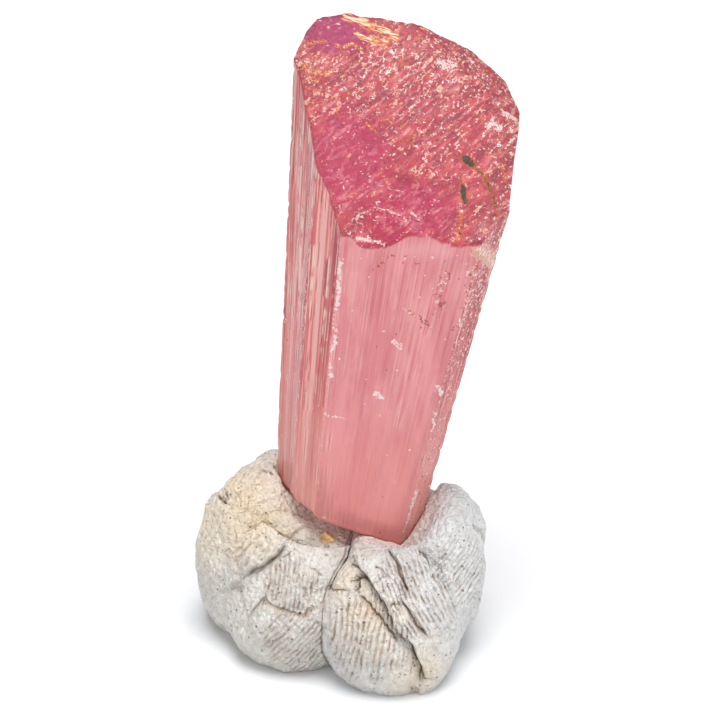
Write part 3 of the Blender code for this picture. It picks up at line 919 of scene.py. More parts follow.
@dataclass
class PuttyWad:
    """A kneaded lump of putty: lobes grown together, with swellings, folds and finger prints."""

    node: str
    heart: Place
    lobes: tuple[Lobe, ...]
    swellings: tuple[SoftSpot, ...]
    folds: tuple[Fold, ...]
    prints: tuple[Print, ...]
    pebbles: tuple[Pebbles, ...]
    tints: tuple[SoftSpot, ...]
    seed: int
    grid: int = 126
    lobe_blend: float = 2.5
    lap_width: float = 2.6
    lap_edge: float = 0.11
    cut_width: float = 0.16
    dirt_and_shade_width: float = 0.45
    fold_margin: float = 0.7
    seat_gap: float = 0.04
    seat_rounding: float = 0.2
    overlap: float = 0.2
    lump: float = 0.18
    lump_spacing: float = 2.6
    wrinkle: float = 0.12
    wrinkle_spacing: float = 0.9
    pucker: float = 0.12
    pucker_spacing: float = 0.8
    grain: float = 0.07
    grain_spacing: float = 0.45
    craze_depth: float = 0.07
    craze_spacing: float = 1.7
    craze_width: float = 0.05
    pit_spacing: float = 1.1
    pit_radius: float = 0.12
    pit_depth: float = 0.12
    contact: float = 0.12
    # Width of the darkening along a join with a neighbour: grime and painted shade.
    contact_dirt_and_shade: float = 0.3
    press_steps: int = 40

    def ways(self) -> tuple[np.ndarray, list]:
        """Even directions from the heart, on a cube cut into a grid and made round.

        Returns:
            The directions, and the grid's faces.
        """
        cube = bpy.data.meshes.new("grid")
        bm = bmesh.new()
        bmesh.ops.create_cube(bm, size=2)
        bmesh.ops.subdivide_edges(bm, edges=bm.edges, cuts=self.grid - 1, use_grid_fill=True)
        bm.to_mesh(cube)
        bm.free()
        spots = np.empty(len(cube.vertices) * 3)
        cube.vertices.foreach_get("co", spots)
        corners = np.empty(len(cube.loops), dtype=np.int64)
        cube.loops.foreach_get("vertex_index", corners)
        bpy.data.meshes.remove(cube)
        ways = np.tan(spots.reshape(-1, 3) * math.pi / 4)
        return ways / np.linalg.norm(ways, axis=1, keepdims=True), corners.reshape(-1, 4).tolist()

    def plain_reach(self, ways: np.ndarray) -> np.ndarray:
        """How far the wad's unfolded skin is from its heart, each way."""
        heart = np.array(self.heart)
        reach = self.lobes[0].reach(heart, ways)
        for lobe in self.lobes[1:]:
            reach = -smooth_least(-reach, -lobe.reach(heart, ways), self.lobe_blend)
        for swelling in self.swellings:
            reach = reach + swelling.over(ways)
        return reach

    def clearance(self, points: np.ndarray) -> np.ndarray:
        """How far points are outside the wad's unfolded skin; negative where they are inside."""
        away = points - np.array(self.heart)
        length = np.linalg.norm(away, axis=1)
        return length - self.plain_reach(away / length[:, None])

    def fold_relief(
        self, fold: Fold, reach: np.ndarray, ways: np.ndarray
    ) -> tuple[np.ndarray, np.ndarray, np.ndarray]:
        """The relief of one fold, how much grime and painted shade its crease holds, and how far each point
        is across it.

        Args:
            fold: the fold.
            reach: how far the skin is from the heart, each way.
            ways: the directions.

        Returns:
            Heights in millimetres, grime and painted shade from 0 to 1, and distances across, positive on
            the crease's left.
        """
        path = rounded_path([heading(*place) for place in fold.path])
        middle = path.mean(0)
        radius = np.linalg.norm(path - middle, axis=1).max() + self.fold_margin
        near = np.linalg.norm(ways - middle, axis=1) < radius
        height = np.zeros(len(ways))
        dirt_and_shade = np.zeros(len(ways))
        across = np.full(len(ways), FAR)
        some = ways[near]
        scale = reach[near]
        spots = some * scale[:, None]
        wander = 0.05 * np.stack([noise(spots, 1.6, self.seed + k) for k in range(3)], axis=-1)
        distance, offset, along = path_distance(some + wander * 0.5, path)
        left = np.cross(some, along)
        side = (offset * left).sum(1) / np.maximum(np.linalg.norm(left, axis=1), 1e-9) * scale
        ends = np.minimum(*(np.linalg.norm(some - end, axis=1) for end in (path[0], path[-1]))) * scale
        length = np.linalg.norm(np.diff(path, axis=0), axis=1).sum() * scale.mean()
        taper = 0.15 + 0.85 * ease(ends, 0.0, min(1.4, 0.25 * length))
        distance = distance * scale
        cut = fold.cut * np.exp(-((distance / self.cut_width) ** 2))
        valley = fold.depth * np.exp(-distance / fold.width) + cut
        step = np.tanh(side / self.lap_edge)
        valley *= 1 - 0.3 * (np.sign(fold.lift) * step + abs(np.sign(fold.lift)))
        lap = 0.5 * fold.lift * step * np.exp(-((distance / self.lap_width) ** 2))
        height[near] = (lap - valley) * taper
        patchy = 0.9 + 0.15 * noise(spots, 0.9, self.seed + 7)
        # Grime and painted shade along the crease, uneven and thinned towards its ends.
        dirtied_and_shaded = np.exp(-((distance / self.dirt_and_shade_width) ** 2)) * taper * fold.grime_and_shade
        dirt_and_shade[near] = dirtied_and_shaded * np.clip(patchy, 0, 1)
        across[near] = np.where(side < 0, -distance, distance) + 1.3 * self.lap_edge * np.sign(fold.lift)
        return height, dirt_and_shade, across

    def patch_share(self, patch: Print | Pebbles, plain: np.ndarray) -> np.ndarray:
        """How fully a patch covers points of the plain skin, with an uneven border."""
        way = heading(patch.azimuth, patch.elevation)
        middle = np.array(self.heart) + way * self.plain_reach(way[None])[0]
        away = np.linalg.norm(plain - middle, axis=1) / patch.radius
        return ease(away + 0.25 * noise(plain, 1.4, self.seed + 30), 1.15, 0.75)

    def skin(self, crystal: Crystal, others: tuple["PuttyWad", ...]) -> bpy.types.Object:
        """Makes the wad's closed mesh, pressed round the crystal, its neighbours and flat on the table.

        Args:
            crystal: the crystal that stands in it.
            others: wads that it gives way to.

        Returns:
            The wad's object.
        """
        ways, faces = self.ways()
        heart = np.array(self.heart)
        reach = self.plain_reach(ways)
        plain = heart + ways * reach[:, None]
        dirt_and_shade = np.zeros(len(ways))
        relief = np.zeros(len(ways))
        seam = np.full(len(ways), FAR)
        for fold in self.folds:
            height, dirtied_and_shaded, across = self.fold_relief(fold, reach, ways)
            relief += height
            seam = np.where(np.abs(across) < np.abs(seam), across, seam)
            dirt_and_shade = np.maximum(dirt_and_shade, dirtied_and_shaded)
        phase = np.zeros(len(ways))
        ridged = np.zeros(len(ways))
        bend = 0.2 * noise(plain, 2.2, self.seed + 31) + 0.07 * noise(plain, 0.8, self.seed + 33)
        broken = 0.3 + 0.7 * ease(noise(plain, 0.6, self.seed + 32), -0.6, 0.3)
        for patch in self.prints:
            share = self.patch_share(patch, plain)
            turns = (np.linalg.norm(plain - np.array(patch.whorl), axis=1) + bend) / patch.pitch
            phase = np.where(share > ridged, turns, phase)
            relief += patch.height * share * np.cos(turns * 2 * math.pi) * broken
            ridged = np.maximum(ridged, share * broken * min(1.0, patch.height / 0.11))
        for patch in self.pebbles:
            share = self.patch_share(patch, plain)
            distance = nearest_pit(plain, patch.spacing, self.seed + 8)[0] / (0.62 * patch.spacing)
            relief += patch.height * share * np.maximum(1 - distance**2, -0.2)
            # Crevices between the pebbles are darkened: grime and painted shade.
            dirt_and_shade = np.maximum(dirt_and_shade, 0.3 * share * ease(distance, 0.9, 1.2))
        lumps = self.lump * noise(plain, self.lump_spacing, self.seed)
        relief += lumps + self.wrinkle * noise(plain, self.wrinkle_spacing, self.seed + 1)
        relief += self.grain * noise(plain, self.grain_spacing, self.seed + 2)
        puckered = ease(noise(plain, 3.0, self.seed + 15), -0.1, 0.5) * (1 - ridged)
        puckers = np.abs(noise(plain * [1, 1, 1.6], self.pucker_spacing, self.seed + 16))
        relief -= self.pucker * puckered * (1 - puckers) ** 4
        crazed = np.exp(-((noise(plain, self.craze_spacing, self.seed + 5) / self.craze_width) ** 2))
        patchy = ease(noise(plain, 2.8, self.seed + 6), 0.0, 0.5)
        crazed *= patchy * ease(noise(plain, 0.7, self.seed + 9), -0.3, 0.2)
        relief -= self.craze_depth * crazed
        # The crazed lines are darkened: grime and painted shade.
        dirt_and_shade = np.maximum(dirt_and_shade, 0.4 * crazed)
        distance, own = nearest_pit(plain, self.pit_spacing, self.seed + 3)
        pits = np.exp(-((distance / self.pit_radius) ** 2)) * ease(own, 0.3, 0.6)
        relief -= self.pit_depth * pits
        reach = self.pressed(ways, reach + relief, crystal, others)
        points = heart + ways * reach[:, None]
        points[:, 2] = np.maximum(points[:, 2], 0)
        # Along the join with a neighbour the putty is darkened and a seam drawn: partly grime, partly
        # painted shade in the crevice.
        for other in others:
            touch = other.clearance(points) - self.contact
            seam = np.where(np.abs(touch) < np.abs(seam), touch, seam)
            dirt_and_shade = np.maximum(dirt_and_shade, 0.5 * np.exp(-((touch / self.contact_dirt_and_shade) ** 2)))
        # Distance from the crystal, from which the finish paints a glow where light comes through the
        # crystal.
        glow = np.maximum(crystal.prism.clearance(crystal.axes.into(points), crystal.lower), 0)
        warmth = np.zeros(len(ways))
        for tint in self.tints:
            warmth = np.maximum(warmth, tint.over(ways))
        fields = {
            "dirt_and_shade": dirt_and_shade,
            "seam": np.clip(seam, -0.6, 0.6),
            "pit": pits,
            "ridge_phase": phase,
            "ridged": ridged,
            "from_crystal": glow,
            "warmth": warmth,
            "open_skin": ease(glow, 0.5, 1.5) * ease(points[:, 2], 0.3, 1.0),
        }
        low, high = (np.array(corner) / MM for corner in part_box(self.node))
        return make_piece(self.node + "_skin", np.clip(points, low, high), faces, fields)

    def pressed(
        self, ways: np.ndarray, reach: np.ndarray, crystal: Crystal, others: tuple["PuttyWad", ...]
    ) -> np.ndarray:
        """Holds the skin back where the crystal or another wad is.

        Args:
            ways: the directions.
            reach: how far the free skin would be from the heart.
            crystal: the crystal.
            others: the wads that this one gives way to.

        Returns:
            How far the pressed skin is from the heart.
        """
        heart = np.array(self.heart)
        stop = np.full(len(ways), np.inf)
        before = np.ones(len(ways))
        shares = np.linspace(0.2, 1.12, self.press_steps)
        for last, share in zip(shares[:-1], shares[1:], strict=True):
            points = heart + ways * (reach * share)[:, None]
            clear = crystal.prism.clearance(crystal.axes.into(points), crystal.lower)
            for other in others:
                clear = np.minimum(clear, other.clearance(points) + self.overlap)
            clear = clear - self.seat_gap
            hit = (clear < 0) & np.isinf(stop)
            part = np.clip(before / np.maximum(before - clear, 1e-9), 0, 1)
            stop = np.where(hit, reach * (last + (share - last) * part), stop)
            before = clear
        held = smooth_least(reach, np.where(np.isinf(stop), reach * 1.3, stop), self.seat_rounding)
        return np.where(np.isinf(stop), reach, held)


LEFT_WAD = PuttyWad(
    node="left_putty_wad",
    heart=(-6.0, 3.6, 6.0),
    lobes=(
        Lobe((-7.9, 6.6, 6.8), (5.4, 7.6, 9.6), -15, 14),
        Lobe((-3.7, 0.2, 5.2), (7.6, 6.8, 6.6), -38),
        Lobe((-2.6, 5.6, 7.2), (5.2, 6.4, 5.4)),
    ),
    swellings=(
        SoftSpot(-90, 55, 1.3, 22),
        SoftSpot(-85, 15, 1.1, 26),
        SoftSpot(-10, -30, 1.8, 30),
        SoftSpot(-55, -25, 0.6, 30),
        SoftSpot(12, 56, 1.0, 15),
    ),
    folds=(
        Fold(
            (
                (-44, 42), (-39, 49), (-33, 55), (-28, 60), (-22, 60), (-13, 58),
                (-1, 54), (7, 49), (20, 42), (37, 36), (46, 33),
            ),
            0.7, 0.8, -0.9, 0.1, 0.8,
        ),
        Fold(((36, 74), (5, 73), (-20, 70), (-28, 66), (-28, 60)), 0.15, 0.4, 0.0, 0.15, 0.4),
        Fold(
            ((7, 47), (4, 45), (1, 42), (-3, 37), (-9, 33), (-15, 29), (-22, 25), (-27, 20), (-32, 16)),
            0.6, 0.9, -0.7, 0.08, 0.7,
        ),
        Fold(((-2, 38), (0, 35), (3, 35), (7, 37), (12, 40)), 0.1, 0.25, 0.0, 0.1, 0.5),
        Fold(((-32, 14), (-31, 8), (-28, 3), (-25, -1), (-21, -4), (-17, -7)), 0.5, 0.9, 0.2, 0.05, 0.25),
        Fold(((-98, 50), (-84, 53), (-74, 56)), 1.1, 0.5, -0.3, 0.5, 1.0),
        Fold(((-88, 57), (-82, 57)), 0.3, 0.3, 0.0, 0.2),
        Fold(((-45, 7), (-41, 6), (-33, 6)), 0.25, 0.35, 0.0, 0.15, 0.4),
        Fold(
            ((-21, -8), (-16, -1), (-12, 4), (-9, 7), (-7, 6), (-3, 5), (6, 3), (11, 2), (15, 5), (23, 7)),
            0.2, 0.8, -0.8, 0.04, 0.7,
        ),
        Fold(((-9, 7), (-9, 11), (-8, 15), (-6, 18), (-2, 20)), 0.2, 0.5, 0.0, 0.03, 0.25),
        Fold(((17, 27), (22, 25), (25, 20)), 0.1, 0.3, 0.0, 0.08, 0.4),
        Fold(((-91, 69), (-105, 70), (-120, 71), (-126, 73)), 0.15, 0.35, 0.0, 0.25),
        Fold(((-123, 78), (-122, 82), (-110, 86)), 0.15, 0.35, 0.0, 0.25),
        Fold(((-152, 79), (-160, 83), (176, 86)), 0.2, 0.4, 0.0, 0.3),
        Fold(
            ((-138, 34), (-150, 31), (-160, 26), (-168, 22), (-177, 14), (176, 6), (173, -6)),
            0.5, 0.9, 0.5, 0.06, 0.5,
        ),
        Fold(
            ((-122, 34), (-128, 22), (-132, 12), (-133, 4), (-130, -6), (-126, -14)),
            0.4, 0.8, 0.4, 0.06, 0.5,
        ),
        Fold(
            ((-172, 66), (-165, 60), (-157, 52), (-146, 47), (-133, 45), (-120, 44)),
            0.3, 0.8, -0.5, 0.06, 0.5,
        ),
        Fold(((143, 50), (150, 44), (158, 39), (168, 36), (178, 37), (-174, 41)), 0.3, 0.7, 0.3, 0.06, 0.5),
    ),
    prints=(
        Print(10, -11, 3.6, (-26.0, -4.0, 22.0), 0.1, 0.46),
        Print(7, 18, 2.9, (-30.0, -6.0, 13.0), 0.1, 0.46),
        Print(-32, 37, 1.8, (-36.0, -4.0, 38.0), 0.09, 0.46),
        Print(-92, 22, 4.4, (-8.0, -40.0, 8.0), 0.025, 0.5),
        Print(-55, 64, 2.4, (6.0, -22.0, 0.0), 0.025, 0.45),
        Print(-150, 0, 4.0, (-20.0, 10.0, -20.0), 0.05),
    ),
    pebbles=(Pebbles(-46, 30, 2.3),),
    tints=(SoftSpot(-48, 68, 0.9, 38), SoftSpot(-80, 40, 0.6, 32)),
    seed=40,
)
RIGHT_WAD = PuttyWad(
    node="right_putty_wad",
    heart=(6.0, -1.6, 6.0),
    lobes=(
        Lobe((8.0, 2.4, 6.6), (5.2, 7.6, 8.2), 0, 12),
        Lobe((4.0, -5.2, 4.4), (6.4, 5.8, 6.4), -12),
        Lobe((3.6, 3.2, 6.8), (4.6, 7.0, 5.0)),
    ),
    swellings=(
        SoftSpot(0, -35, 1.2, 28),
        SoftSpot(75, -20, 0.8, 30),
        SoftSpot(-35, 10, 0.5, 30),
        SoftSpot(-60, 45, 1.5, 25),
        SoftSpot(165, 75, -2.3, 17),
        SoftSpot(152, 66, -1.3, 9),
        SoftSpot(155, 74, -1.2, 12),
        SoftSpot(168, 63, -1.0, 8),
        SoftSpot(-105, 70, -0.9, 12),
        SoftSpot(-12, 30, 0.5, 8),
        SoftSpot(-4, 13, 0.55, 8),
        SoftSpot(4, -4, 0.5, 8),
        SoftSpot(-95, 48, 1.0, 16),
    ),
    folds=(
        Fold(
            (
                (-50, 40), (-41, 37), (-35, 34), (-28, 31), (-22, 26), (-18, 22), (-14, 16), (-10, 12),
                (-8, 7), (-5, 3), (-2, 0), (2, -4), (4, -8), (6, -13), (8, -20), (7, -28),
            ),
            0.9, 0.8, 0.8, 0.25, 1.0,
        ),
        Fold(
            ((-39, 25), (-34, 22), (-29, 19), (-25, 16), (-17, 9), (-14, 6), (-10, 1), (-5, -3)),
            0.35, 0.5, -0.4, 0.15, 0.9,
        ),
        Fold(
            ((-76, 70), (-46, 66), (-27, 60), (-16, 53), (-11, 47), (-8, 41), (-5, 35), (-2, 30), (1, 26)),
            0.3, 0.5, 0.2, 0.2, 1.0,
        ),
        Fold(
            ((-8, 26), (-3, 22), (0, 19), (2, 16), (4, 12), (5, 9), (8, 5), (10, 2), (12, -1)),
            0.4, 0.6, 0.3, 0.15, 0.9,
        ),
        Fold(((-39, 42), (-34, 42), (-28, 42), (-22, 40), (-13, 36)), 0.2, 0.35, 0.0, 0.1, 0.5),
        Fold(
            ((20, 88), (40, 78), (41, 72), (41, 66), (41, 59), (43, 53), (48, 46), (54, 31)),
            0.9, 1.0, -0.5, 0.4, 0.6,
        ),
        Fold(((24, 75), (34, 67), (38, 59)), 0.12, 0.3, 0.0, 0.15, 0.8),
        Fold(((11, 2), (17, 4), (25, 1), (32, -4), (42, -10)), 0.08, 0.3, 0.0, 0.06, 0.4),
        Fold(((4, -13), (2, -14), (0, -17), (-1, -20)), 0.25, 0.3, 0.0, 0.1, 0.5),
        Fold(((8, -21), (10, -25), (14, -26)), 0.25, 0.3, 0.0, 0.1, 0.5),
        Fold(((-47, 29), (-47, 32), (-45, 35), (-39, 35)), 0.35, 0.4),
        Fold(((-49, 33), (-42, 28), (-37, 26)), 0.35, 0.4),
        Fold(((-39, 25), (-43, 22), (-48, 21), (-55, 19), (-70, 13)), 0.15, 0.35, 0.2, 0.1, 0.7),
        Fold(((-99, 31), (-92, 40), (-93, 45), (-92, 51)), 0.3, 0.5, 0.0, 0.3, 0.5),
        Fold(((-68, 37), (-53, 39), (-46, 38)), 0.3, 0.4, 0.0, 0.3, 0.6),
        Fold(
            ((104, 48), (112, 40), (119, 31), (125, 22), (128, 12), (128, 2), (124, -8)),
            0.4, 0.9, 0.5, 0.06, 0.5,
        ),
        Fold(
            ((150, 55), (158, 44), (163, 32), (163, 20), (161, 8), (166, -3), (172, -12)),
            0.4, 0.9, -0.6, 0.06, 0.5,
        ),
    ),
    prints=(
        Print(-28, 2, 4.7, (-26.0, -9.0, 10.0), 0.16, 0.52),
        Print(12, 32, 4.6, (34.0, -2.0, 20.0), 0.13, 0.44),
        Print(-14, 30, 1.7, (34.0, -2.0, 20.0), 0.05, 0.4),
        Print(70, 34, 3.4, (-14.0, 0.0, 34.0), 0.08, 0.44),
        Print(110, -5, 3.6, (10.0, -30.0, -10.0), 0.045),
        Print(150, 20, 4.0, (30.0, 10.0, 20.0), 0.045),
    ),
    pebbles=(Pebbles(4, -21, 2.0, 0.6, 0.12), Pebbles(50, 72, 1.4, 0.45, 0.06)),
    tints=(SoftSpot(-25, 10, 0.7, 30), SoftSpot(5, -22, 0.8, 22), SoftSpot(-55, 25, 0.7, 30)),
    seed=60,
)


@dataclass(frozen=True)
class GritChip:
    """The angular crumb of ochre grit that is caught under the crystal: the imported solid, roughened."""

    node: str = "grit_chip"
    cuts: int = 9
    roughness: float = 0.07
    roughness_spacing: float = 0.35
    edge_wear: float = 0.05
    edge_width: float = 0.25

    def build(self) -> bpy.types.Object:
        """Makes the crumb's finer mesh inside its plain solid."""
        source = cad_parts[self.node]
        bm = bmesh.new()
        bm.from_mesh(source.data)
        bm.transform(source.matrix_world)
        bmesh.ops.remove_doubles(bm, verts=bm.verts, dist=0.01 * MM)
        corners = np.array([vert.co for vert in bm.verts]) / MM
        bmesh.ops.subdivide_edges(bm, edges=bm.edges, cuts=self.cuts, use_grid_fill=True)
        bmesh.ops.triangulate(bm, faces=[face for face in bm.faces if len(face.verts) > 4])
        points = np.array([vert.co for vert in bm.verts]) / MM
        centre = corners.mean(0)
        faces = [[vert.index for vert in face.verts] for face in bm.faces]
        bm.free()
        inward = centre - points
        inward /= np.linalg.norm(inward, axis=1, keepdims=True)
        near = np.min(np.linalg.norm(points[:, None] - corners[None], axis=2), axis=1)
        worn = self.edge_wear * np.exp(-((near / self.edge_width) ** 2))
        depth = self.roughness * (0.5 + 0.5 * noise(points, self.roughness_spacing, 71)) + worn
        return make_piece(self.node + "_skin", points + inward * depth[:, None], faces, {}, crease=25)


# ---------------------------------------------------------------- strewn small pieces


@dataclass(frozen=True)
class Strewn:
    """Splinters or grains strewn over a skin by Geometry Nodes, as thick as one of the skin's fields says.

    Sizes are in millimetres, and density is in pieces per square millimetre where the field is 1.
    """

    name: str
    field: str
    density: float
    smallest: float
    largest: float
    slimness: float
    sink: float
    seed: int

    def tree(self, material: bpy.types.Material) -> bpy.types.NodeTree:
        """Builds the Geometry Nodes tree, whose input is the skin and whose output is the pieces alone."""
        tree = bpy.data.node_groups.new(self.name, "GeometryNodeTree")
        tree.interface.new_socket("Geometry", in_out="INPUT", socket_type="NodeSocketGeometry")
        tree.interface.new_socket("Geometry", in_out="OUTPUT", socket_type="NodeSocketGeometry")
        for label in ("Density", "Smallest", "Largest", "Slimness", "Sink"):
            tree.interface.new_socket(label, in_out="INPUT", socket_type="NodeSocketFloat")
        add = partial(add_node, tree)
        given = add("NodeGroupInput").outputs
        where = add("GeometryNodeInputNamedAttribute", self.field, data_type="FLOAT")
        thick = add("Math", where, given["Density"], operation="MULTIPLY")
        given_points = {"Mesh": given["Geometry"], "Density": thick, "Seed": self.seed}
        points = add("GeometryNodeDistributePointsOnFaces", given_points)
        ball = add("GeometryNodeMeshIcoSphere", {"Radius": 0.5, "Subdivisions": 1})
        half = add("Math", given["Slimness"], operation="SQRT")
        form = add("CombineXYZ", 1.0, half, given["Slimness"])
        grain = add("GeometryNodeTransform", {"Geometry": ball, "Scale": form})
        spin = add("FunctionNodeRandomValue", {"Max": 2 * math.pi, "Seed": self.seed + 1}, data_type="FLOAT")
        turn = add("FunctionNodeEulerToRotation", add("CombineXYZ", None, None, spin))
        turn = add("FunctionNodeRotateRotation", points.outputs["Rotation"], turn, rotation_space="LOCAL")
        span = {"Min": given["Smallest"], "Max": given["Largest"], "Seed": self.seed + 2}
        size = add("FunctionNodeRandomValue", span, data_type="FLOAT")
        placing = {"Points": points, "Instance": grain, "Rotation": turn, "Scale": size}
        placed = add("GeometryNodeInstanceOnPoints", placing)
        down = add("CombineXYZ", None, None, add("Math", given["Sink"], -1.0, operation="MULTIPLY"))
        shift = {"Instances": placed, "Translation": down, "Local Space": True}
        solid = add("GeometryNodeRealizeInstances", add("GeometryNodeTranslateInstances", shift))
        add("NodeGroupOutput", add("GeometryNodeSetMaterial", {"Geometry": solid, "Material": material}))
        return tree

    def build(self, skin: bpy.types.Object, material: bpy.types.Material) -> bpy.types.Object:
        """Strews the pieces over a skin and makes them one plain mesh.

        Args:
            skin: the finished piece that they lie on.
            material: their finish.

        Returns:
            The pieces' object.
        """
        piece = bpy.data.objects.new(self.name, skin.data.copy())
        bpy.context.scene.collection.objects.link(piece)
        modifier = piece.modifiers.new("strewn", "NODES")
        modifier.node_group = self.tree(material)
        given = {
            "Density": self.density / MM**2,
            "Smallest": self.smallest * MM,
            "Largest": self.largest * MM,
            "Slimness": self.slimness,
            "Sink": self.sink,
        }
        for item in modifier.node_group.interface.items_tree:
            if item.in_out == "INPUT" and item.name in given:
                modifier[item.identifier] = given[item.name]
        bpy.context.view_layer.update()
        evaluated = piece.evaluated_get(bpy.context.evaluated_depsgraph_get())
        plain = bpy.data.meshes.new_from_object(evaluated)
        piece.modifiers.remove(modifier)
        copy = piece.data
        piece.data = plain
        bpy.data.meshes.remove(copy)
        return piece


# ---------------------------------------------------------------- finishes


class Sheet:
    """A material being drawn up: its nodes, the mesh fields that they read, and the place in millimetres."""

    def __init__(self, name: str, reads: tuple[str, ...] = (), axes: CrystalAxes | None = None) -> None:
        """Starts an empty material.

        Args:
            name: the material's name.
            reads: the mesh fields that it reads.
            axes: the crystal's axes, where the place is wanted along those.
        """
        self.material = bpy.data.materials.new(name)
        self.material.use_nodes = True
        self.material.node_tree.nodes.clear()
        self.add = partial(add_node, self.material.node_tree)
        self.marks: dict[str, Source] = {}
        for label in reads:
            self.marks[label] = self.add("Attribute", attribute_name=label).outputs["Fac"]
        place = self.add("TexCoord").outputs["Object"]
        if axes:
            turned = axes.rotation().to_euler()
            place = self.add("Mapping", place, Vector(axes.foot) * MM, turned, vector_type="TEXTURE")
        self.place = self.add("VectorMath", place, 1 / MM, operation="SCALE")

    def layer(self, under: Source, share: Source, weight: float, over: Source | str) -> Source:
        """Lays one colour over another.

        Args:
            under: the colour below.
            share: says where the upper colour lies.
            weight: how fully it covers there.
            over: the upper colour, as a source or a hex code.

        Returns:
            The mixed colour.
        """
        if weight != 1.0:
            share = self.add("Math", share, weight, operation="MULTIPLY")
        upper = linear(over) if isinstance(over, str) else over
        return self.add("Mix", share, under, upper, data_type="RGBA")

    def finished(self, surface: dict[str, object], inside: Source | None = None) -> bpy.types.Material:
        """Closes the material.

        Args:
            surface: the shader's inputs by name.
            inside: what fills it, where light passes through.

        Returns:
            The material.
        """
        self.add("OutputMaterial", self.add("BsdfPrincipled", surface), inside)
        return self.material


@dataclass(frozen=True)
class Fleck:
    """One kind of strewn speck: its spacing in millimetres, its size against that, and how many show."""

    spacing: float
    size: float
    share: float
    weight: float
    colour: str
    stretch: float = 1.0

    def shown(self, sheet: Sheet, place: Source, among: Source | float) -> Source:
        """Where the specks show.

        Args:
            sheet: the material.
            place: what they are strewn on.
            among: what thins them out, 1 where all show.

        Returns:
            1 on a speck and 0 off it.
        """
        add = sheet.add
        cells = add("TexVoronoi", place, 1 / self.spacing)
        own = add("SeparateColor", cells.outputs["Color"])
        most = add("Math", among, self.share, operation="MULTIPLY")
        chosen = add("Math", own.outputs["Red"], most, operation="LESS_THAN")
        reach = add("MapRange", own.outputs["Green"], 0.0, 1.0, 0.5 * self.size, self.size)
        ratio = add("Math", cells.outputs["Distance"], reach, operation="DIVIDE")
        core = add("MapRange", ratio, 1.0, 0.6)
        return add("Math", core, chosen, operation="MULTIPLY")


@dataclass(frozen=True)
class Stroke:
    """One kind of short, wandering line: spacing and width in millimetres, and how rare it is, 0 to 1.

    It runs along the level lines of a noise, and another noise breaks it up.
    """

    spacing: float
    width: float
    rarity: float
    weight: float
    colour: str
    stretch: float = 1.0

    def shown(self, sheet: Sheet, place: Source, among: Source) -> Source:
        """Where the lines show.

        Args:
            sheet: the material.
            place: what they are drawn on.
            among: what thins them out, 1 where all show.

        Returns:
            1 on a line and 0 off it.
        """
        add = sheet.add
        away = add("Math", add("TexNoise", place, 1 / self.spacing, 2.0), 0.5, operation="SUBTRACT")
        away = add("Math", away, operation="ABSOLUTE")
        thin = 0.28 * self.width / self.spacing
        line = add("MapRange", away, thin, 0.4 * thin)
        some = add("Math", add("TexNoise", place, 1.3 / self.spacing, 1.0), among, operation="MULTIPLY")
        some = add("MapRange", some, self.rarity, self.rarity + 0.04)
        return add("Math", line, some, operation="MULTIPLY")


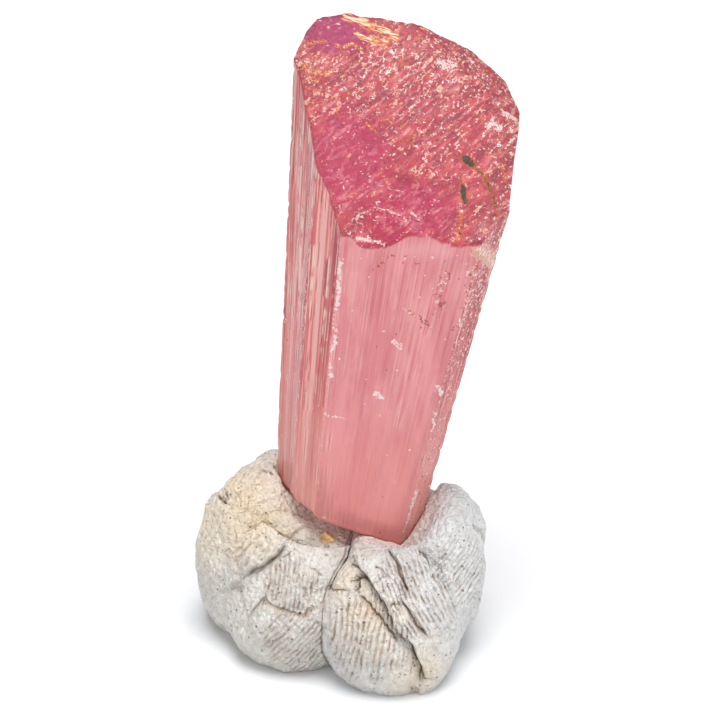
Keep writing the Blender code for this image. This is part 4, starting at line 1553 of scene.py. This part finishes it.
@dataclass(frozen=True)
class SpodumeneFinish:
    """Natural spodumene, as grown: silky grooves along its sides, an etched, sparkling upper end.

    The grooves show as pale and dark hair lines, the pale ones painted highlights, and the etching as cream
    and wine-red specks in a deep pink.
    Real growth lines are finer than a tenth of a millimetre: they are drawn three times as coarse.
    """

    axes: CrystalAxes
    end_slope: float
    ior: float = 1.66
    roughness: float = 0.18
    specular: float = 0.2
    transmission: float = 0.52
    absorbed: str = "f4acb4"
    absorption: float = 55.0
    line_spacing: float = 0.22
    band_spacing: float = 1.1
    thread_spacing: float = 0.2
    ridge_bearing: float = 40.0
    rust_bearing: float = -16.0
    reads: tuple[str, ...] = (
        "line_u", "line_v", "left_side", "right_side", "long_edge", "sheen", "pale", "crack", "chip",
        "bleached", "upper_end", "sugar", "magenta", "violet", "ledge_reach", "arc_highlights", "lip", "rust",
        "rusty_pits", "clay", "frost",
    )
    pool_marks: tuple[Fleck | Stroke, ...] = (
        Fleck(0.9, 0.36, 0.5, 0.45, "e2789a", 2.6),
        Fleck(0.46, 0.26, 0.45, 0.6, "7c1440"),
        Fleck(0.5, 0.22, 0.34, 0.8, "ffd0d0"),
        Stroke(0.9, 0.14, 0.47, 0.45, "ea8ca0", 2.6),
        Stroke(0.8, 0.12, 0.47, 0.45, "861444", 2.0),
    )
    # The white and cream specks and strokes here are partly the etching's own pale grains and partly painted
    # sparkle, highlights of the etched grain.
    end_marks: tuple[Fleck | Stroke, ...] = (
        Fleck(0.5, 0.45, 0.36, 0.55, "e88c88", 3.0),
        Fleck(0.42, 0.45, 0.34, 0.55, "8e2738", 2.6),
        Fleck(0.34, 0.36, 0.18, 0.85, "ffbc98", 1.8),
        Fleck(0.4, 0.26, 0.26, 1.0, "fff4e4"),
        Fleck(0.6, 0.24, 0.26, 0.9, "5a141a"),
        Stroke(0.9, 0.18, 0.51, 0.5, "e08080", 2.2),
        Stroke(0.7, 0.15, 0.5, 0.6, "8a2434", 2.0),
        Stroke(0.75, 0.11, 0.57, 0.9, "ffc8ac", 1.8),
        Stroke(0.6, 0.1, 0.59, 1.0, "fff8f0", 1.4),
        Stroke(1.1, 0.13, 0.64, 0.85, "cc6a2c", 1.4),
    )
    side_marks: tuple[Fleck, ...] = (
        Fleck(1.0, 0.13, 0.4, 0.9, "fff1ea"),
        Fleck(1.3, 0.1, 0.35, 0.8, "8f3038"),
    )
    # The bevel's pale strokes are painted highlights; its dark strokes are darker lines.
    bevel_marks: tuple[Stroke, ...] = (
        Stroke(0.7, 0.13, 0.5, 0.8, "8c3038"),
        Stroke(0.5, 0.1, 0.56, 0.95, "fff2e8"),
    )
    crack_marks: tuple[Stroke, ...] = (
        Stroke(0.9, 0.12, 0.47, 0.95, "98401e"),
        Stroke(0.7, 0.11, 0.52, 0.9, "ffeade"),
    )

    def material(self) -> bpy.types.Material:
        """Builds the crystal's material: its colours, its fine relief and its pink inside."""
        sheet = Sheet("grown_spodumene", self.reads, self.axes)
        add = sheet.add
        height = add("SeparateXYZ", sheet.place).outputs["Z"]
        slow = add("Math", height, 0.02, operation="MULTIPLY")
        lengthwise = add("CombineXYZ", sheet.marks["line_u"], sheet.marks["line_v"], slow)
        grains = add("TexNoise", sheet.place, 2.8, 3.0, 0.7)
        sides = self.sides(sheet, lengthwise, height)
        end = self.end(sheet, grains)
        grooves = add("TexNoise", lengthwise, 3.5, 2.0)
        relief = add("Mix", sheet.marks["upper_end"], grooves, grains)
        surface = {
            "Base Color": sheet.layer(sides, sheet.marks["upper_end"], 1.0, end),
            "Roughness": self.roughness,
            "IOR": self.ior,
            "Specular IOR Level": self.specular,
            "Transmission Weight": self.transmission,
            "Normal": add("Bump", {"Strength": 0.8, "Distance": 0.12 * MM, "Height": relief}),
        }
        return sheet.finished(surface, add("VolumeAbsorption", linear(self.absorbed), self.absorption))

    def sloping(self, sheet: Sheet, place: Source, bearing: float, stretch: float) -> Source:
        """A place on the upper end, turned to a bearing on its steep plane and drawn out along it.

        Args:
            sheet: the material.
            place: the place along the crystal's axes.
            bearing: degrees up from the crystal's u axis.
            stretch: how much longer a pattern's marks are than they are wide.

        Returns:
            The turned place.
        """
        rise = Vector((0, 1, self.end_slope)).normalized()
        turn = math.radians(bearing)
        along = Vector((math.cos(turn), 0, 0)) + math.sin(turn) * rise
        outward = Vector((1, 0, 0)).cross(rise)
        turned = Matrix((along, outward.cross(along), outward)).transposed().to_euler()
        return sheet.add("Mapping", place, None, turned, (stretch, 1.0, 1.0), vector_type="TEXTURE")

    def sides(self, sheet: Sheet, lengthwise: Source, height: Source) -> Source:
        """Colours of the long faces: lengthwise threads and bands, strongest on the left, where pale threads
        are painted highlights and the bands partly painted light and shade.

        Args:
            sheet: the material.
            lengthwise: a place that hardly changes along the crystal, so that patterns on it run in lines.
            height: how far up the crystal.

        Returns:
            The colour.
        """
        add, marks = sheet.add, sheet.marks
        lines = add("TexNoise", lengthwise, 1 / self.line_spacing, 2.0)
        bands = add("TexNoise", lengthwise, 1 / self.band_spacing, 2.0)
        cloud = add("Mapping", sheet.place, None, None, (0.4, 0.4, 0.12))
        cloud = add("TexNoise", cloud, 1.0, 4.0, 0.6)
        silky = add("MapRange", height, 3.0, 22.0, 0.25, 1.0)
        streak = add("Math", add("Mix", 0.45, lines, bands), 0.5, operation="SUBTRACT")
        streak = add("Math", streak, silky, 0.5, operation="MULTIPLY_ADD")
        streak = add("Math", marks["sheen"], 0.07, streak, operation="MULTIPLY_ADD")
        banded = add("Math", bands, 0.5, operation="SUBTRACT")
        banded = add("Math", banded, 0.35, streak, operation="MULTIPLY_ADD")
        # The left ramp's pale and dark bands are partly painted light and shade of the flutes, over the
        # crystal's own pink.
        stops = [(0.40, "b04a54"), (0.45, "cc6464"), (0.5, "e47c78"), (0.54, "f0948e"), (0.6, "fccac0")]
        left = add("ValToRGB", banded, stops=stops)
        stops = [(0.40, "a03c4a"), (0.47, "c45e64"), (0.53, "d87a76"), (0.6, "f6c4b6")]
        right = add("ValToRGB", streak, stops=stops)
        stops = [(0.38, "c8707a"), (0.46, "da888d"), (0.54, "e09698"), (0.63, "ecaca8")]
        front = add("ValToRGB", streak, stops=stops)
        # Painted glow: towards the foot the sides are painted lighter and more orange, partly the crystal's
        # own tint, and the lower flanks paler still.
        low = add("MapRange", height, 0.0, 16.0, 0.75, 0.0)
        flank = add("Math", marks["left_side"], marks["right_side"], operation="MAXIMUM")
        flank = add("Math", flank, low, operation="MULTIPLY")
        colour = front
        for share, weight, over in (
            (add("MapRange", cloud, 0.45, 0.62, 0.0, 0.6), 1.0, "f6b0b2"),
            (add("MapRange", cloud, 0.48, 0.36, 0.0, 0.45), 1.0, "e0848a"),
            (marks["right_side"], 1.0, right),
            (marks["left_side"], 1.0, left),
            (low, 1.0, "ea968c"),
            (flank, 0.9, "f8c0b2"),
            (marks["pale"], 0.75, "f2b3ba"),
        ):
            colour = sheet.layer(colour, share, weight, over)
        striped = add("Math", marks["left_side"], marks["sheen"], operation="MAXIMUM")
        striped = add("MapRange", striped, 0.0, 1.0, 0.15, 0.95)
        striped = add("Math", striped, silky, operation="MULTIPLY")
        gaps = add("MapRange", add("TexNoise", sheet.place, 0.5, 2.0), 0.42, 0.55)
        striped = add("Math", striped, gaps, operation="MULTIPLY")
        # Painted highlights: the pale threads on the left flank and in the sheen marks stand for the lights
        # glinting in the grooves; the dark threads are darker lines.
        threads = add("TexNoise", lengthwise, 1 / self.thread_spacing, 1.0)
        for start, full, over in ((0.56, 0.59, "ffe8d8"), (0.41, 0.38, "a8444c")):
            thread = add("MapRange", threads, start, full)
            thread = add("Math", thread, striped, operation="MULTIPLY")
            colour = sheet.layer(colour, thread, 1.0, over)
        rough = add("MapRange", height, 8.0, 26.0, 0.85, 1.08)
        rough = add("Math", rough, marks["right_side"], operation="MULTIPLY")
        strewn = ((self.side_marks, 1.0), (self.bevel_marks, rough), (self.crack_marks, marks["crack"]))
        for kinds, among in strewn:
            for kind in kinds:
                colour = sheet.layer(colour, kind.shown(sheet, sheet.place, among), kind.weight, kind.colour)
        grain = add("TexNoise", sheet.place, 3.2, 3.0, 0.75)
        # Pale marks on bleached patches, the long edges and the chips; the chips' white is partly painted
        # glint.
        for field_name, least, weight, over in (
            ("bleached", 0.4, 0.8, "ecccae"),
            ("bleached", 0.53, 0.9, "9a5a34"),
            ("bleached", 0.56, 0.95, "fff6e8"),
            ("chip", 0.52, 1.0, "fffaf4"),
            ("long_edge", 0.64, 0.95, "fff6ee"),
        ):
            near = add("Math", marks[field_name], 0.5, grain, operation="MULTIPLY_ADD")
            share = add("MapRange", near, least + 0.4, least + 0.43)
            colour = sheet.layer(colour, share, weight, over)
        return colour

    def end(self, sheet: Sheet, grains: Source) -> Source:
        """Colours of the etched upper end: deep pink with light specks, partly painted sparkle, rust, clay,
        frosted bruises and pale arcs of painted highlight.

        Args:
            sheet: the material.
            grains: the end's grain.

        Returns:
            The colour.
        """
        add, marks = sheet.add, sheet.marks
        cloud = add("TexNoise", self.sloping(sheet, sheet.place, self.ridge_bearing, 3.0), 0.9, 5.0, 0.7)
        stops = [(0.36, "841a30"), (0.45, "a8243a"), (0.53, "be3448"), (0.61, "d2565c"), (0.69, "ec8c80")]
        colour = sheet.layer(add("ValToRGB", cloud, stops=stops), marks["sugar"], 0.25, "c65c5a")
        pool = add("Math", cloud, -0.9, marks["magenta"], operation="MULTIPLY_ADD")
        pool = add("MapRange", pool, -0.3, 0.4)
        colour = sheet.layer(colour, pool, 0.8, "b81450")
        tip = add("Math", cloud, -0.6, marks["violet"], operation="MULTIPLY_ADD")
        tip = add("MapRange", tip, -0.1, 0.4)
        colour = sheet.layer(colour, tip, 0.9, "a8225e")
        calm = 0.95
        for source, change in ((pool, -0.14), (marks["sugar"], 0.12), (tip, -0.45)):
            calm = add("Math", source, change, calm, operation="MULTIPLY_ADD")
        jitter = add("TexNoise", sheet.place, 3.5, 2.0).outputs["Color"]
        jitter = add("VectorMath", jitter, 0.5, operation="SCALE")
        ragged = add("VectorMath", sheet.place, jitter, operation="ADD")
        for kinds, among in ((self.pool_marks, pool), (self.end_marks, calm)):
            for kind in kinds:
                drawn = self.sloping(sheet, ragged, self.ridge_bearing, kind.stretch)
                colour = sheet.layer(colour, kind.shown(sheet, drawn, among), kind.weight, kind.colour)
        crumbs = add("TexNoise", sheet.place, 5.0, 3.0, 0.8)
        streaks = add("TexNoise", self.sloping(sheet, sheet.place, self.rust_bearing, 7.0), 6.0, 2.0, 0.6)
        for field_name, source, spread, least, weight, over in (
            ("lip", grains, 0.5, 0.65, 0.85, "b92f68"),
            ("rust", streaks, 0.55, 0.89, 0.95, "e27210"),
            ("rust", streaks, 0.55, 0.97, 0.95, "ffcf7a"),
            ("rust", streaks, 0.55, 1.03, 0.95, "fff6da"),
            ("rusty_pits", crumbs, 0.45, 0.8, 0.95, "d4640c"),
            ("rusty_pits", crumbs, 0.45, 0.91, 0.95, "ffd890"),
            ("rusty_pits", grains, 0.45, 0.99, 1.0, "6a2c0c"),
            ("clay", crumbs, 0.66, 0.92, 0.95, "c05a08"),
            ("clay", crumbs, 0.66, 1.06, 1.0, "241002"),
            ("frost", crumbs, 0.5, 0.92, 0.95, "fff4ec"),
        ):
            near = add("Math", marks[field_name], spread, source, operation="MULTIPLY_ADD")
            colour = sheet.layer(colour, add("MapRange", near, least, least + 0.04), weight, over)
        # Painted highlights: pale broken arcs that follow the curved ledges, for the light that their rims
        # catch.
        turns = add("Math", marks["ledge_reach"], 1.7, grains, operation="MULTIPLY_ADD")
        turns = add("Math", turns, 0.5, operation="PINGPONG")
        broken = add("Math", marks["arc_highlights"], 0.5, streaks, operation="MULTIPLY_ADD")
        broken = add("MapRange", broken, 0.97, 1.0)
        arc_highlight = add("Math", add("MapRange", turns, 0.14, 0.06), broken, operation="MULTIPLY")
        return sheet.layer(colour, arc_highlight, 0.9, "ffe8de")


@dataclass(frozen=True)
class PuttyFinish:
    """Mounting putty, a filled rubber kneaded by hand: off-white and dull, with brown grime and painted
    shade in its creases.

    Finger ridges and pits catch grime, with painted shade in the pits, and a painted glow lightens the putty
    next to the crystal.
    Finger ridges are drawn as wide as they are on a hand, and the pores between them twice as wide.
    """

    name: str
    pale: str
    shaded: str
    warm: str
    glow: str
    glow_reach: float
    stain: str = "a87e55"
    grime_and_shade: str = "5c4430"
    pore_shade: str = "4e3b2a"
    roughness: float = 0.42
    reads: tuple[str, ...] = ("dirt_and_shade", "seam", "pit", "ridge_phase", "ridged", "from_crystal", "warmth")

    def material(self) -> bpy.types.Material:
        """Builds the putty's material: clean ground, hollows darkened by stains, grime and painted shade,
        and fine relief.
        """
        sheet = Sheet(self.name, self.reads)
        add, marks, place = sheet.add, sheet.marks, sheet.place
        grain = add("TexNoise", place, 1.6, 4.0, 0.7)
        bent = add("VectorMath", grain.outputs["Color"], 0.9, operation="SCALE")
        bent = add("VectorMath", place, bent, operation="ADD")
        groove = self.grooves(sheet, grain)
        pore = self.pores(sheet)
        crack = add("TexVoronoi", bent, 0.7, feature="DISTANCE_TO_EDGE")
        crack = add("MapRange", crack, 0.035, 0.0)
        some = add("MapRange", add("TexNoise", place, 0.3, 2.0), 0.55, 0.68, 0.0, 0.5)
        some = add("Math", some, marks["warmth"], operation="MULTIPLY")
        crack = add("Math", crack, some, operation="MULTIPLY")
        # How much grime and painted shade lie here, from creases, crevices and joins, made uneven by the
        # grain.
        held = add("Math", grain, 0.5, -0.25, operation="MULTIPLY_ADD")
        held = add("Math", marks["dirt_and_shade"], held, operation="ADD")
        held = add("MapRange", held, 0.2, 0.75)
        aside = add("Math", marks["seam"], operation="ABSOLUTE")
        halo = add("MapRange", aside, 0.3, 0.08, 0.0, 0.45)
        halo = add("Math", halo, held, operation="MULTIPLY")
        # A thin dark line down each crease and join: partly grime, partly painted shade at its bottom.
        seam = add("Math", add("MapRange", aside, 0.1, 0.04), held, operation="MULTIPLY")
        colour = self.ground(sheet)
        # Seam lines and pits take the grime colour, which also stands for painted shade in them.
        for share, weight, over in (
            (groove, 0.9, self.stain),
            (halo, 1.0, self.stain),
            (crack, 0.9, self.stain),
            (seam, 0.75, self.grime_and_shade),
            (pore, 0.85, self.pore_shade),
            (marks["pit"], 0.85, self.grime_and_shade),
        ):
            colour = sheet.layer(colour, share, weight, over)
        height = add("Math", add("TexNoise", place, 3.5, 3.0, 0.6), 0.8, grain, operation="MULTIPLY_ADD")
        pillow = add("TexVoronoi", bent, 1.9).outputs["Distance"]
        for share, depth in ((pillow, -0.9), (groove, -0.4), (crack, -0.8), (pore, -0.6), (seam, -0.8)):
            height = add("Math", share, depth, height, operation="MULTIPLY_ADD")
        bump = add("Bump", {"Strength": 1.0, "Distance": 0.4 * MM, "Height": height})
        return sheet.finished({"Base Color": colour, "Roughness": self.roughness, "Normal": bump})

    def grooves(self, sheet: Sheet, grain: Source) -> Source:
        """Where dirt lies between finger ridges.

        Args:
            sheet: the material.
            grain: the noise that makes it uneven.

        Returns:
            1 in a dirty groove and 0 out of it.
        """
        add = sheet.add
        wave = add("Math", sheet.marks["ridge_phase"], 2 * math.pi, operation="MULTIPLY")
        wave = add("Math", wave, operation="COSINE")
        groove = add("MapRange", wave, 0.0, -0.95)
        groove = add("Math", groove, sheet.marks["ridged"], operation="MULTIPLY")
        stained = add("MapRange", grain, 0.38, 0.58, 0.2, 0.85)
        return add("Math", groove, stained, operation="MULTIPLY")

    def pores(self, sheet: Sheet) -> Source:
        """1 in a small round pore, 0 out of it."""
        add = sheet.add
        cells = add("TexVoronoi", sheet.place, 1.7)
        own = add("SeparateColor", cells.outputs["Color"])
        size = add("MapRange", own.outputs["Green"], 0.0, 1.0, 0.1, 0.24)
        pore = add("MapRange", cells.outputs["Distance"], size, 0.06)
        rare = add("Math", own.outputs["Red"], 0.35, operation="GREATER_THAN")
        return add("Math", pore, rare, operation="MULTIPLY")

    def ground(self, sheet: Sheet) -> Source:
        """The clean putty's colour: mottled, warmer in patches, with a painted glow next to the crystal."""
        add = sheet.add
        mottle = add("MapRange", add("TexNoise", sheet.place, 0.4, 5.0, 0.65), 0.35, 0.65)
        colour = sheet.layer(linear(self.pale), mottle, 1.0, self.shaded)
        warm = add("Math", mottle, 0.3, -0.15, operation="MULTIPLY_ADD")
        warm = add("Math", warm, sheet.marks["warmth"], operation="ADD")
        colour = sheet.layer(colour, add("MapRange", warm, 0.1, 0.9), 1.0, self.warm)
        # Painted glow: next to the crystal the putty is painted lighter and warmer, for light that comes
        # through the crystal.
        near = sheet.marks["from_crystal"]
        near = add("MapRange", near, 0.0, self.glow_reach, 0.8, 0.0, interpolation_type="SMOOTHSTEP")
        return sheet.layer(colour, near, 1.0, self.glow)


@dataclass(frozen=True)
class SpeckledFinish:
    """A plain stony or chalky finish with a second, blotchy colour."""

    name: str
    base: str
    blotch: str
    spacing: float
    roughness: float

    def material(self) -> bpy.types.Material:
        """Builds the material."""
        sheet = Sheet(self.name)
        spots = sheet.add("TexNoise", sheet.place, 1 / self.spacing, 4.0)
        colour = sheet.add("ValToRGB", spots, stops=[(0.42, self.base), (0.62, self.blotch)])
        bump = sheet.add("Bump", {"Strength": 0.5, "Distance": 0.1 * MM, "Height": spots})
        return sheet.finished({"Base Color": colour, "Roughness": self.roughness, "Normal": bump})


# ---------------------------------------------------------------- the studio


@dataclass(frozen=True)
class Studio:
    """A white table, a wide soft light overhead and a camera that looks down a little on the broad face."""

    target: Place = (1.4, 3.0, 28.0)
    elevation: float = 25.0
    distance: float = 333.0
    lens: float = 180.0
    table_size: float = 3000.0
    surround: float = 0.17
    surround_colour: str = "fafbff"
    walls: float = 0.7
    sky_watts: float = 3.1
    sky_width: float = 42.0
    sky_from: Place = (0.02, -0.04, 1.0)
    fill_watts: float = 1.2
    side_watts: float = 1.2
    reflector_width: float = 60.0

    def build(self) -> None:
        """Sets up the table, the lights and the camera."""
        self.table()
        self.lights()
        self.camera()

    def table(self) -> None:
        """Lays the pale table top."""
        half = self.table_size / 2
        corners = half * np.array([(-1.0, -1.0, 0.0), (1.0, -1.0, 0.0), (1.0, 1.0, 0.0), (-1.0, 1.0, 0.0)])
        top = make_piece("table_top", corners, [(0, 1, 2, 3)], {})
        card = SpeckledFinish("matt_white_card", "e8e9eb", "e5e6e8", spacing=40.0, roughness=0.9)
        top.data.materials.append(card.material())

    def lights(self) -> None:
        """Hangs the soft lights and lights the room evenly."""
        world = bpy.data.worlds.new("white_room")
        world.use_nodes = True
        tree = world.node_tree
        background = tree.nodes["Background"]
        background.inputs["Color"].default_value = linear(self.surround_colour)
        soft = add_node(tree, "LightPath").outputs["Is Diffuse Ray"]
        strength = add_node(tree, "MapRange", soft, 0.0, 1.0, self.walls, self.surround)
        tree.links.new(strength.outputs[0], background.inputs["Strength"])
        scene = bpy.context.scene
        scene.world = world
        scene.view_settings.view_transform = "Standard"
        for name, way, width, watts in (
            ("overhead_softbox", self.sky_from, self.sky_width, self.sky_watts),
            ("front_left_reflector", (-0.55, -1.0, 0.5), self.reflector_width, self.fill_watts),
            ("right_reflector", (1.0, -0.5, 0.5), self.reflector_width, self.side_watts),
        ):
            light = bpy.data.lights.new(name, "SUN")
            light.angle = math.radians(width)
            light.energy = watts
            lamp = bpy.data.objects.new(name, light)
            lamp.rotation_euler = (-Vector(way)).to_track_quat("-Z", "Y").to_euler()
            scene.collection.objects.link(lamp)

    def camera(self) -> None:
        """Places the camera."""
        camera = bpy.data.cameras.new("camera")
        camera.lens = self.lens
        camera.sensor_width = 36.0
        camera.clip_start = 0.01
        holder = bpy.data.objects.new("camera", camera)
        tilt = math.radians(self.elevation)
        back = Vector((0.0, -math.cos(tilt), math.sin(tilt))) * self.distance
        holder.location = (Vector(self.target) + back) * MM
        holder.rotation_euler = (math.radians(90 - self.elevation), 0.0, 0.0)
        bpy.context.scene.collection.objects.link(holder)
        bpy.context.scene.camera = holder


def keep(piece: bpy.types.Object, node: str = "") -> None:
    """Rides a finished piece on the body and reports it.

    Args:
        piece: the piece.
        node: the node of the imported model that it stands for, if it does.
    """
    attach(piece, BODY)
    if node:
        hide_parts(node)
    log.info("%s: %d faces", piece.name, len(piece.data.polygons))


def main() -> None:
    """Builds the crystal, its putty and the studio, and dresses them."""
    logging.basicConfig(level=logging.INFO, format="%(name)s: %(message)s")
    crystal = Crystal()
    skin = crystal.build()
    skin.data.materials.append(SpodumeneFinish(crystal.axes, crystal.upper.slope).material())
    keep(skin, "crystal")
    # The splinters' white is partly the chips' own bruised white and partly painted glint off their faces.
    chip_white_and_glint = SpeckledFinish("chipped_spodumene_and_glint", "fff6f0", "f4cfc6", spacing=0.5, roughness=0.25).material()
    splinters = Strewn(
        name="edge_splinters",
        field="splintered",
        density=3.0,
        smallest=0.1,
        largest=0.42,
        slimness=0.35,
        sink=0.1,
        seed=5,
    )
    keep(splinters.build(skin, chip_white_and_glint))
    dust = SpeckledFinish("rock_dust", "5a4536", "2e231c", spacing=0.3, roughness=0.6).material()
    # The last colour of each putty finish is its painted glow next to the crystal.
    warm = PuttyFinish("kneaded_putty_warm", "ebe7df", "dad5cc", "f7e2c4", "fff3e6", glow_reach=4.0)
    cool = PuttyFinish("kneaded_putty_cool", "ebebea", "d9d9d8", "eedfca", "f4d6cc", glow_reach=2.2)
    for wad, others, finish in ((LEFT_WAD, (RIGHT_WAD,), warm), (RIGHT_WAD, (), cool)):
        piece = wad.skin(crystal, others)
        piece.data.materials.append(finish.material())
        keep(piece, wad.node)
        grit = Strewn(
            name=wad.node.replace("wad", "grit"),
            field="open_skin",
            density=0.9,
            smallest=0.07,
            largest=0.17,
            slimness=0.7,
            sink=0.25,
            seed=wad.seed,
        )
        keep(grit.build(piece, dust))
    chip = GritChip()
    crumb = chip.build()
    ochre = SpeckledFinish("ochre_grit", "e3bd8c", "a8783f", spacing=0.6, roughness=0.45).material()
    crumb.data.materials.append(ochre)
    keep(crumb, chip.node)
    Studio().build()


if __name__ == "__main__":
    main()
